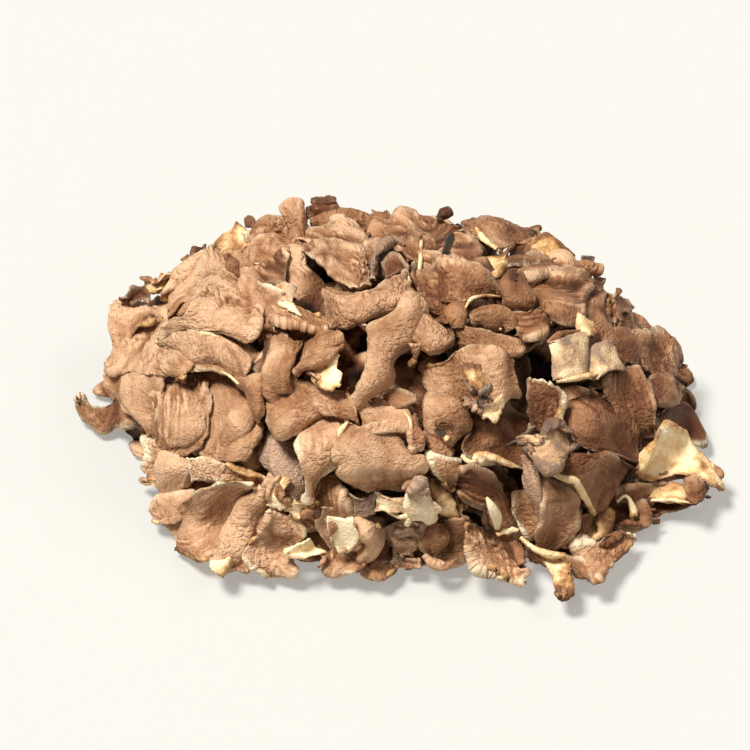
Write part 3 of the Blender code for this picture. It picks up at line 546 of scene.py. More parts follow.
@dataclass
class Panel:
    """The sheet of one face, with sizes in mm.

    Attributes:
        frond: the face.
        dome: the dome that it stands out of.
        seed: seed of its relief and its lean.
        spacing: distance between its points.
        lip: how far a thin edge stands up.
        tilt: how far its ends and edges lean to the eye or away, at most.
        slack: length of the flat sheet over its length as it shows.
        tight_roll: share of the roll radius that a thin edge turns round.
        full_roll: the same for a thick rolled edge.
        fall: how far a thick rolled edge runs on after its turn.
        lift_scale: strength of the given lifts.
        lift_base: depth that the lifts are measured from.
        margin_reach: width of the thin pale margin.
    """

    frond: Face
    dome: Dome
    seed: int
    spacing: float = 0.5
    lip: float = 1.0
    tilt: float = 2.7
    slack: float = 1.08
    tight_roll: float = 0.38
    full_roll: float = 0.75
    fall: float = 4.0
    lift_scale: float = 1.35
    lift_base: float = 2.5
    margin_reach: float = 2.5

    side_tears = (EdgePattern(5.0, 11.0, 27.5, 2.4), EdgePattern(1.5, 15.0, 21.5, 0.8))
    tip_tears = (EdgePattern(4.0, 7.0, 37.5, 1.5, apart=2.0), EdgePattern(1.5, 3.0, 31.5, 0.8, apart=2.0))
    ruffle = EdgePattern(5.0, 43.0, 12.5, 1.6)

    def turned_edge(self, flat: np.ndarray, half: np.ndarray, roll: float) -> tuple[np.ndarray, np.ndarray]:
        """Turns the outer part of a sheet under round its edge.

        Args:
            flat: distance from the middle over the sheet.
            half: distance from the middle to the edge as it shows.
            roll: radius of the turn, below nought where it turns up.

        Returns:
            Distance from the middle as it shows, and drop away from the eye.
        """
        share = self.tight_roll + (self.full_roll - self.tight_roll) * float(smooth(1.6, 2.4, abs(roll)))
        radius = np.minimum(share * abs(roll), 0.9 * half) + 1e-6
        turn = np.clip((flat - (half - radius)) / radius, 0.0, 0.5 * math.pi)
        past = np.maximum(flat - (half - radius) - 0.5 * math.pi * radius, 0.0)
        shown = np.minimum(flat, half - radius) + radius * np.sin(turn) - 0.3 * past
        drop = radius * (1.0 - np.cos(turn)) + past
        return shown, math.copysign(1.0, roll) * drop

    def turned_both(self, flat: np.ndarray, half: np.ndarray,
                    rolls: tuple[float, ...]) -> tuple[np.ndarray, np.ndarray]:
        """Turns a sheet under at both of its edges.

        Args:
            flat: distance from the middle over the sheet, below nought toward the first edge.
            half: distance from the middle to the edges as they show.
            rolls: radii of the turns at the first and second edge.

        Returns:
            Distance from the middle as it shows, and drop away from the eye.
        """
        half = half * np.ones_like(flat)
        first_shown, first_drop = self.turned_edge(-flat, half, rolls[0])
        second_shown, second_drop = self.turned_edge(flat, half, rolls[1])
        return np.where(flat < 0.0, -first_shown, second_shown), np.where(flat < 0.0, first_drop, second_drop)

    def extra(self, roll: float) -> float:
        """How much longer a sheet is past an edge than it shows."""
        return (0.5 * math.pi - 1.0) * abs(roll) + self.fall * float(smooth(1.2, 2.6, roll))

    def lean(self, wide: float, side: np.ndarray, ends: np.ndarray) -> np.ndarray:
        """How far a sheet leans and bows toward the eye.

        Args:
            wide: half of its width in mm.
            side: side from -1 to 1 of each point.
            ends: place from -1 to 1 along the sheet of each row.

        Returns:
            Distances in mm.
        """
        face = self.frond
        chance = random.Random(self.seed)
        size = min(1.0, wide / 7.0) * (0.5 if face.side is Side.PORES else 1.0)
        tip, lean = (
            size * chance.choice((-1.0, 1.0)) * chance.uniform(0.6, 1.0) * self.tilt
            for _ in range(2)
        )
        way = 1.4 if min(face.rolls[:2]) >= 1.5 else chance.choice((-0.8, 1.0, 1.3))
        bow = size * way * chance.uniform(1.2, 2.4)
        inside = np.clip(side, -1.1, 1.1)
        return tip * ends[:, None] + 0.8 * lean * inside - bow * (inside**2 - 0.3)

    def sheet(self) -> Sheet:
        """Places the whole sheet.

        Returns:
            The sheet.
        """
        face = self.frond
        relief = Relief(self.seed)
        marks = np.array(face.rows, dtype=float)
        fine = spline(marks, np.linspace(0.0, 1.0, 60))
        middles = 0.5 * (fine[:, 0:2] + fine[:, 2:4])
        length = self.slack * np.linalg.norm(np.diff(middles, axis=0), axis=1).sum()
        wide = 0.5 * np.linalg.norm(fine[:, 2:4] - fine[:, 0:2], axis=1).max()
        extra = [self.extra(roll) for roll in face.rolls]

        low, high = -0.5 * length - extra[2], 0.5 * length + extra[3]
        rows = max(7, round((high - low) / self.spacing))
        flat_along = np.linspace(low, high, rows)
        shown, row_drop = self.turned_both(flat_along, 0.5 * length, face.rolls[2:])
        values = spline(marks, shown / length + 0.5)
        columns = max(7, round((2.0 * wide + extra[0] + extra[1]) / self.spacing))
        half = 0.5 * np.linalg.norm(values[:, 2:4] - values[:, 0:2], axis=1)[:, None] + 0.05
        share = np.linspace(0.0, 1.0, columns)[None, :]
        flat_across = -half - extra[0] + (2.0 * half + extra[0] + extra[1]) * share
        side, drop = self.turned_both(flat_across, half, face.rolls[:2])
        side = side / half
        drop = drop + row_drop[:, None]
        sags = [sag if roll > 1.2 else -self.lip for sag, roll in zip(face.sags, face.rolls)]
        sag = np.where(side < 0.0, sags[0], sags[1]) * np.abs(side) ** 2.4

        along = flat_along[:, None] * np.ones((1, columns))
        torn = face.ragged * np.abs(side) ** 4 * np.sign(side)
        side = side + torn * sum(relief.beside(tear, along, side) for tear in self.side_tears) / half
        ends = shown / (0.5 * length)
        torn = (face.ragged * np.abs(ends) ** 4 * np.sign(ends))[:, None]
        tips = torn * sum(relief.beside(tear, flat_across, along) for tear in self.tip_tears)
        first, second = values[:, None, 0:2], values[:, None, 2:4]
        flat_map = first + (second - first) * (0.5 * (side[..., None] + 1.0))
        heading = np.gradient(middles, axis=0)
        heading = spline(heading / np.linalg.norm(heading, axis=1, keepdims=True), shown / length + 0.5)
        flat_map = flat_map + tips[..., None] * heading[:, None, :]
        ruffle = np.minimum(np.abs(side), 1.1) ** 3 * relief.beside(self.ruffle, along, side)
        rise = self.lift_scale * values[:, 4][:, None] - self.lift_base - sag - drop + ruffle
        points = self.dome.shown(flat_map[..., 0], flat_map[..., 1], rise + self.lean(wide, side, ends))

        flat_across, along = arc_places(points)
        normals = surface_normals(points)
        flip = -1.0 if np.mean(normals @ SIGHT) > 0.0 else 1.0
        height = CRUMPLE.height(face, relief, flat_across, along)
        points = eased_ground(WARP.deepened(points + flip * normals * height[..., None]))
        margin = np.minimum(1.0 - np.abs(np.clip(side, -1, 1)), 2.0) * half
        margin = np.minimum(margin, (0.5 * length - np.abs(shown))[:, None])
        margin = 1.0 - smooth(0.0, self.margin_reach, margin)
        parts = (points, np.stack([flat_across, along], axis=-1), margin, height)
        if flip < 0.0:
            parts = (part[:, ::-1] for part in parts)
        return Sheet(*parts)


PORED = Side.PORES

# The tones in these tables run lighter on the left of the head and darker on its right: partly the head's own
# colour and partly painted shade on the side turned from the key lamp.
LEFT_SHEETS = [
    Face("left_fan", ((-79, 34, -69, 33, 1), (-81.5, 28, -65, 30, 3), (-80.5, 21, -64, 21, 4),
                      (-82, 15, -65, 13, 3)),
         rolls=(2.5, 0.5, 2, 1), sags=(1.5, 2), tone=0.85, rough=0.9, ribs=0.5),
    Face("left_fan_low", ((-83, 17, -66, 18, 1), (-83, 12, -65, 12, 2), (-79, 6, -66, 5, 2),
                          (-74, 1, -66.5, -2, 1.5), (-70, -3.5, -67, -6, 0)),
         rolls=(1.5, 0.5, 0.5, 1), tone=0.8, rough=0.4),
    Face("left_horn", ((-72, 6, -72, 0, -2), (-79, 6.5, -78, -0.5, 0), (-84, 4.5, -82, -2.5, 1),
                       (-88, 6.5, -87, 1, 1), (-90, 7.5, -90, 4.5, 1)),
         rolls=(0.8, 1.4, 0.5, 0.8), tone=0.35, rough=0.9, ragged=0.8, pale=0.3),
    Face("left_pored_crumple", ((-72, 41, -71, 36, 1), (-68.5, 41, -68, 35.5, 2), (-65.5, 41, -66, 36, 1)),
         rolls=(0.5, 0.5, 0.5, 0.5), tone=0.6, rough=1.2, ragged=1.5, side=PORED),
    Face("left_dark_rag", ((-78, 35, -77, 33, 2), (-74, 37.5, -73, 34, 3), (-70.5, 38.5, -70, 35, 2)),
         rolls=(0.3, 0.5, 0.3, 0.3), tone=0.0, rough=1.2, ragged=1.8),
    # A sheet deep in a recess, its low tone painted shade.
    Face("left_recess", ((-71, 34, -70, 29, -2), (-67, 36, -66, 27, -2), (-62, 33, -62, 28, -3)),
         rolls=(1, 1, 1, 1), sags=(-2, 0), tone=0.2, rough=0.4),
    Face("upper_left_block", ((-62.5, 29.5, -59, 30.5, 2), (-65.3, 34, -56, 36, 4),
                              (-66.3, 39, -54.5, 41, 5), (-65.5, 42.3, -54, 45, 4),
                              (-60, 45.5, -53, 48, 2)),
         rolls=(2.5, 0.5, 1.5, 1.5), sags=(1, 3), tone=0.9, rough=0.8),
    Face("shoulder", ((-53.5, 48, -47, 48, 2), (-55.5, 41, -43, 39.5, 6), (-57, 35, -37.5, 31, 8),
                      (-59.5, 31, -43, 23, 9), (-62.5, 28.5, -54, 25.5, 9), (-65, 25.3, -62, 23.6, 8),
                      (-67.5, 22.5, -66, 21.2, 6)),
         rolls=(1.2, 0.8, 1.5, 0.8), sags=(1, 0.5), tone=0.88, rough=1.2, wave=1.1),
    Fold("shoulder_pale_edge", ((-61, 27, 9), (-58.5, 26.8, 10.2), (-54, 25.4, 10), (-50, 24, 8.5)),
         (0.8, 2.2, 1.6, 0.5), bow=50, skirt=0.4, tone=0.75, wave=0.3, lilac=0.4, side=PORED),
    Face("small_dark_tip", ((-57.5, 46, -54.5, 46, 1), (-57.5, 49, -54.5, 49.5, 1.5)),
         rolls=(1, 1, 0.5, 1), tone=-0.1),
    Face("striped_wedge", ((-55, 46.5, -48, 46.5, 1), (-50, 51.5, -43, 48, 3), (-45, 57, -40, 52, 2)),
         rolls=(0.3, 0.5, 0.5, 0.5), tone=0.35, ribs=1.2, rough=0.2, side=PORED),
    Fold("fold_ridge", ((-46, 48.5, 6), (-44.5, 45, 9), (-42, 40, 9.5), (-39.5, 35, 8), (-37, 30, 4)),
         (3, 5, 6.5, 6, 4), bow=80, skirt=4, tone=0.8, rough=0.3),
    Fold("slit_leaf", ((-48, 47.5, 7), (-46.5, 44, 9), (-44, 40, 9)),
         (1, 1.6, 0.8), bow=60, skirt=1, tone=0.2),
    Face("ridge_leaf", ((-40, 40, -42, 33, 4), (-36, 38, -39, 27, 5), (-32, 36.5, -34, 26, 3)),
         rolls=(0.4, 1, 1, 1), tone=0.55, rough=0.9, pale=0.8),
    Face("band", ((-65, 22.8, -61, 17.5, 4), (-59, 25.5, -56.5, 16.3, 6), (-52, 25, -51, 15.6, 7),
                  (-46, 22, -46.5, 13, 6.5), (-41, 18, -43.5, 9.5, 5)),
         rolls=(0.5, 1.8, 1.2, 0.5), sags=(1.5, 1), tone=0.75, rough=0.6),
    Fold("band_pale_edge", ((-49.5, 14.5, 6), (-47, 13.2, 7.2), (-44.5, 11, 7)),
         (0.4, 0.9, 0.4), bow=40, skirt=0.2, tone=0.9, wave=0.2, side=PORED),
    Face("band_end", ((-65, 20.5, -60, 19.5, 5), (-65.8, 16, -57, 16.8, 6.5), (-62, 12, -59.5, 12, 5)),
         rolls=(1.5, 1.5, 1, 1), tone=0.78, rough=0.4),
    Face("ribbed_tongue", ((-64.5, 11.5, -57.5, 11, 3), (-67.3, 6, -54.5, 4, 5),
                           (-67, -1, -54.5, -2.5, 5.5), (-64.5, -6.5, -58, -6.5, 3)),
         rolls=(2.5, 2.5, 2.5, 2), tone=0.82, ribs=1.6, rough=0.4, wave=0.4),
    Face("smooth_lobe", ((-57, 13, -45, 13, -1), (-57, 5, -40.5, 6, 1), (-56.5, -3, -39, -3, 2.5),
                         (-55, -10, -42, -10.5, 3)),
         rolls=(0.5, 1.5, 0.5, 1.2), sags=(2, 1), tone=0.68, rough=0.15, ribs=0.6, wave=0.5),
    Fold("smooth_lobe_fold", ((-41, 6, 2), (-44, 1, 3.6), (-48, -5, 4), (-51, -9, 2.5)),
         (3, 5, 6.5, 5), bow=40, skirt=1, tone=0.66, rough=0.15, ribs=0.5),
    Face("narrow_lobe", ((-46, 13, -37.5, 14, 4), (-43.5, 8, -38, 8, 6), (-41, 2.5, -38.2, 3, 5.5),
                         (-39.8, -0.5, -38.8, -0.2, 3)),
         rolls=(1.8, 1.8, 1, 0.8), tone=0.62, rough=0.5),
]

LOWER_LEFT_SHEETS = [
    Face("reddish_edge", ((-70, -4.5, -66, -4.5, 0), (-69.2, -10, -65, -10, 1), (-71, -15, -65, -15.5, 0)),
         rolls=(0.3, 0.5, 0.5, 0.5), tone=0.82, rough=0.2, ragged=1.2, pale=1.0),
    Face("reddish_spike", ((-72.3, -15.6, -71.8, -16.6, 1), (-69.5, -15, -68.8, -17.6, 2),
                           (-66.5, -15, -66.5, -18.5, 1)),
         rolls=(0.3, 0.5, 0.3, 0.5), tone=0.82, side=PORED),
    Face("pale_fold", ((-66.5, -8, -58, -8.5, 2), (-66.8, -14, -55.5, -13, 4), (-66.8, -20.5, -59, -20, 3)),
         rolls=(1.5, 2, 1, 1.5), tone=1.22, ribs=1.2, rough=0.4),
    Face("pale_strip", ((-59, -9, -58, -16, 3), (-52, -10, -52, -15.5, 4.5), (-45, -12, -46, -16, 4.5),
                        (-38.5, -14.5, -40, -17, 3)),
         rolls=(1, 0.8, 1, 0.5), tone=1.02, rough=0.8, pale=0.8),
    Face("low_left_fan", ((-40, -16.5, -41, -19, 1), (-47, -16.5, -45, -26, 3), (-54, -18, -49.5, -34, 4),
                          (-60, -21, -54, -38.3, 4), (-65.5, -27, -61.5, -35, 2)),
         rolls=(0.5, 0.8, 0.5, 1.2), wave=0.5, tone=0.77, ribs=0.9, rough=0.45, pale=0.4),
    # A sheet deep in a gap, its low tone painted shade.
    Face("gap_left", ((-63, -14, -62, -24, -1), (-56, -14, -54, -26, 0), (-48, -16, -47, -24, 0)),
         rolls=(0.5, 0.5, 0.5, 0.5), tone=0.22),
    Face("low_left_lobe", ((-57, -19.5, -57, -24, 3), (-63, -20.5, -62, -27.3, 4.5),
                           (-67, -21.5, -66, -28.2, 3.5), (-69.3, -24, -68.8, -26.8, 1.5)),
         rolls=(1.5, 1, 0.5, 1.2), tone=0.82, rough=0.6, pale=0.5),
    Fold("narrow_roll", ((-38, -17.5, 4), (-41, -22, 7), (-43, -29, 8.5), (-46, -35, 7.5), (-51, -39.5, 4)),
         (4, 7, 8, 9.5, 7), bow=75, skirt=4, tone=1.0, rough=0.6),
    Face("narrow_roll_tip", ((-47, -37.5, -48.5, -40.5, 6), (-50, -37.5, -50.5, -41, 6.5),
                             (-52.5, -38, -52.5, -39.5, 5)),
         rolls=(0.5, 0.8, 0.5, 0.8), tone=0.77, rough=1.2, side=PORED),
    Face("roll_side", ((-42.5, -25, -35.5, -23.5, 3), (-42, -30, -36, -29, 4.5), (-39, -33, -37, -32, 3)),
         rolls=(1.5, 1.2, 0.8, 1), tone=0.82, rough=0.3),
    Face("roll_foot", ((-47, -38.5, -46, -40.3, 2), (-42, -38, -42, -41, 2.5)),
         rolls=(0.8, 0.8, 0.5, 0.8), tone=0.62),
    Face("broad_low_lobe", ((-36, -24, -28, -26, 3), (-38.5, -30, -26, -31, 5), (-43, -35, -29, -36, 5),
                            (-42, -38.5, -29, -41, 4), (-37, -42.3, -33, -42.3, 2)),
         rolls=(1.2, 1, 0.5, 1), tone=0.84, rough=0.9, pale=0.4),
]

CENTRE_SHEETS = [
    Face("pale_edge_strip", ((-37, 36, -36, 28, 3), (-30, 34, -29, 27, 5), (-23, 31, -23, 26, 5),
                             (-18, 29.5, -18, 26.5, 3)),
         rolls=(0.8, 1, 0.5, 1), tone=0.63, rough=0.8),
    Fold("white_chip", ((-33.8, 33.6, 6), (-30, 32.2, 7.5), (-27.3, 30, 6.5)),
         (0.7, 1.8, 0.6), bow=40, skirt=0.2, tone=0.95, wave=0.3, rough=1.0, side=PORED),
    Fold("white_crumb", ((-28.5, 28.3, 6), (-26.5, 28, 6.5)),
         (0.8, 0.9), bow=40, skirt=0.2, tone=0.95, rough=1.2, side=PORED),
    Face("ribbed_fold", ((-34, 25.5, -27, 23, 4), (-36.5, 20, -28, 18.5, 6), (-37.5, 14, -29.5, 13, 6.5),
                         (-34.5, 8.5, -30, 8.5, 4)),
         rolls=(1.8, 1.8, 1, 1.2), tone=0.67, ribs=0.9, rough=0.3),
    Face("pit_wall", ((-26, 25, -29, 15, 2), (-21.5, 27.2, -22.5, 18, 6), (-17, 25.8, -15, 21, 4)),
         rolls=(2.2, 0.5, 1, 1), tone=0.63, rough=0.3, ribs=0.4),
    Fold("pit_lip", ((-29.3, 13.8, 5), (-26, 16.2, 8), (-21, 18.8, 8.8), (-15, 22, 7)),
         (3, 4.8, 3.8, 1.5), bow=80, skirt=1.5, tone=0.73, rough=0.2),
    Face("broken_cream", ((-25.5, 15.2, -23.5, 13, 4), (-20.5, 17.2, -19.5, 10.3, 6),
                          (-15.8, 18.5, -16, 11, 6)),
         rolls=(0.3, 0.4, 0.3, 0.3), tone=0.9, rough=1.2, ragged=1.6, side=PORED),
    # A sheet deep in the pit, its low tone painted shade.
    Face("pit_floor", ((-17, 15, -17, 6, -9), (-12, 15, -12, 5, -8), (-8, 13, -8, 5, -9)),
         rolls=(1, 1, 1, 1), tone=-0.35, rough=0.2),
    Face("pit_foot", ((-23, 9.5, -14, 9.5, 3), (-23.5, 5.5, -12.3, 6, 5), (-20.5, 2.5, -11.5, 0, 4.5)),
         rolls=(1.5, 1, 1, 1), tone=0.69, rough=0.4),
    Face("saddle", ((-21, 37.5, -20, 30, 3), (-17, 38, -17.5, 26.3, 7), (-12, 37, -11.5, 27.8, 8),
                    (-6, 38.7, -6, 31, 8), (-1, 41, -1, 31.5, 7.5), (2, 42, 3, 33, 5)),
         rolls=(2.5, 2, 2, 0.5), tone=0.77, rough=0.8, wave=0.6),
    Fold("star_ridge", ((1.5, 43, 3), (2.5, 38, 8), (4, 32, 9.6), (4.8, 26, 7)),
         (4, 6, 7, 4), bow=55, sharp=0.6, skirt=2, tone=0.75, rough=0.4),
    Face("star_web_left", ((-12, 27.8, -8, 25.5, 1), (-6, 27.3, -2, 23.5, 3), (0, 30.5, 2, 21.5, 5),
                           (5, 32.5, 4.5, 20, 6)),
         rolls=(0.8, 2, 1, 0.5), sags=(1.5, 1), tone=0.73, rough=0.4),
    Face("star_hump", ((3.2, 33, 3.2, 21.5, 8), (8, 29.3, 7.5, 19.3, 8.4), (13, 26, 12, 19.5, 6.8),
                       (16, 24.5, 15.5, 21.5, 3)),
         rolls=(2, 2.2, 0.5, 2), tone=0.65, rough=0.5),
    Fold("star_tip", ((4.2, 22, 9), (4.2, 18, 7), (3.3, 15.3, 5.5)),
         (4.5, 3, 1.6), bow=80, skirt=2, tone=0.65, rough=0.3),
    Face("arch_lower", ((1.5, 37, 6.5, 36, 8), (-0.5, 31, 6, 28.5, 9), (-7.5, 27.6, 4, 22.5, 8.5),
                        (-9, 24, 0.5, 19, 8.3), (-8.2, 19.5, -0.5, 16, 8.5), (-9, 14.5, -0.3, 12, 8.3),
                        (-11.3, 9.5, -2.8, 8.8, 7.5), (-12.5, 5.5, -7.5, 6, 6), (-12.5, 2, -9, 3, 4)),
         rolls=(2.4, 2.8, 0.5, 1), tone=0.75, rough=0.3, wave=0.5),
    Face("lens_knob", ((-7, 6.2, -6.8, 5.6, 3), (-1.5, 10, -1, 4, 4), (4.5, 7, 4.5, 6.3, 3)),
         rolls=(1, 1, 0.3, 0.3), tone=0.37, rough=0.3),
    Face("centre_left_lobe", ((-37.5, 14, -22, 11, 4), (-37.5, 8, -19.5, 5, 6),
                              (-36.5, 1.5, -27.5, -0.5, 6.5), (-34.5, -4.3, -30.5, -3.3, 4)),
         rolls=(2, 1.5, 1, 1.5), tone=0.65, rough=0.5),
    Face("pale_star", ((-28.3, -0.5, -18, 3, 5), (-27.2, -6, -16.3, -4, 7.5),
                       (-27.2, -12, -17.3, -10.5, 7.5), (-26.5, -17.5, -21, -15.5, 6.5),
                       (-25.6, -21.5, -24, -20.5, 4.5)),
         rolls=(1.2, 2, 0.5, 0.8), sags=(0.5, 1), tone=0.83, rough=0.3, ribs=0.6, pale=0.9),
    Fold("star_white_edge", ((-14, 0.8, 7), (-16, -1.8, 8.5), (-17.2, -5, 8)),
         (0.5, 2, 0.6), bow=50, skirt=0.4, tone=0.95, wave=0.2, rough=0.3, side=PORED),
    Face("bare_stalk", ((-36, -2, -29, -3, 0), (-38.5, -10, -27.5, -10, 2), (-34.5, -17, -26, -18, 2.5),
                        (-31, -24, -25, -24.5, 1)),
         rolls=(1.5, 1.5, 0.5, 0.5), tone=0.85, lilac=0.6, ribs=1.3, rough=0.1, wave=0.5),
    Face("dark_stripes", ((-21.5, -14, -17.5, -14, 2), (-24.5, -20, -15.5, -20, 3.5),
                          (-25, -27, -13, -27, 2)),
         rolls=(1.5, 1.2, 0.5, 0.5), tone=0.55, ribs=1.5, rough=0.2),
    Face("centre_face", ((-14.5, 0.5, 1, 0.5, 5), (-17.5, -5, 3, -6, 8.5), (-18, -10, 8, -10, 9.5),
                         (-17.8, -14, 4.5, -14.5, 9), (-13, -18, 0.5, -18, 6)),
         rolls=(2.5, 1.8, 1, 1.2), tone=0.81, rough=0.6, wave=0.7, ragged=0.8),
    Face("centre_neck", ((-12, 5, -5, 5, 4), (-11.5, 1, 1.5, 3, 5), (-10, -3, 2, -2, 7)),
         rolls=(1.5, 1, 0.5, 0.5), tone=0.73, rough=0.4),
    Face("slit_loop", ((2.9, 2, 5, 2.5, 6), (3, -2.5, 6.8, -2.5, 8), (3.8, -7.3, 5.8, -6.8, 7)),
         rolls=(0.8, 1.5, 0.5, 0.8), tone=0.65, ribs=1.0, rough=0.2),
    Fold("slit_white_rim", ((1.3, 3.4, 7), (2.8, 1, 9), (3.2, -2, 9.2), (2.9, -5, 8)),
         (0.4, 0.9, 0.9, 0.4), bow=50, skirt=0.2, tone=0.95, wave=0.1, rough=0.1, side=PORED),
    Face("scarred_knob", ((8, 8, 15, 8, 3), (7, 4, 19.3, 4, 6.5), (7.3, -1, 19.8, -1, 7.5),
                          (11, -5, 16.5, -5, 7), (12.8, -7.8, 14.6, -7.3, 5)),
         rolls=(2, 2.5, 1, 1), tone=0.61, rough=0.3, wave=0.6),
    Face("knob_scar", ((10.5, 1, 11, -0.5, 8.2), (12.5, 1.5, 12.3, -0.8, 8.8),
                       (13.5, 0.3, 13.3, -0.5, 8.4)),
         rolls=(0.3, 0.3, 0.3, 0.3), tone=0.25, rough=1.2, ragged=1.5, side=PORED),
    Fold("knob_scar_low", ((12, -3, 8), (13.5, -4.2, 8)),
         (0.8, 1.2), bow=60, skirt=0.3, tone=0.5, side=PORED),
    # A strip in the slit, its near-black tone painted shade.
    Fold("knob_slit", ((9.5, -1.5, 7.6), (12.5, -3, 8.1)),
         (0.6, 1.4), bow=10, skirt=0, tone=-1.05, wave=0.1),
    Fold("small_strip", ((6.5, -2, 4), (10, -5.5, 5.5), (14, -9.5, 4.5)),
         (3, 4, 2.5), bow=75, skirt=2, tone=0.45, rough=0.2),
    Face("hanging_wedge", ((8.3, -9, 17, -10, 4), (10.5, -14, 16.3, -14, 5.5), (13, -19, 15.8, -19, 4.5)),
         rolls=(0.8, 0.8, 0.5, 0.5), tone=0.53, rough=0.2, ribs=0.6, pale=1.0),
]

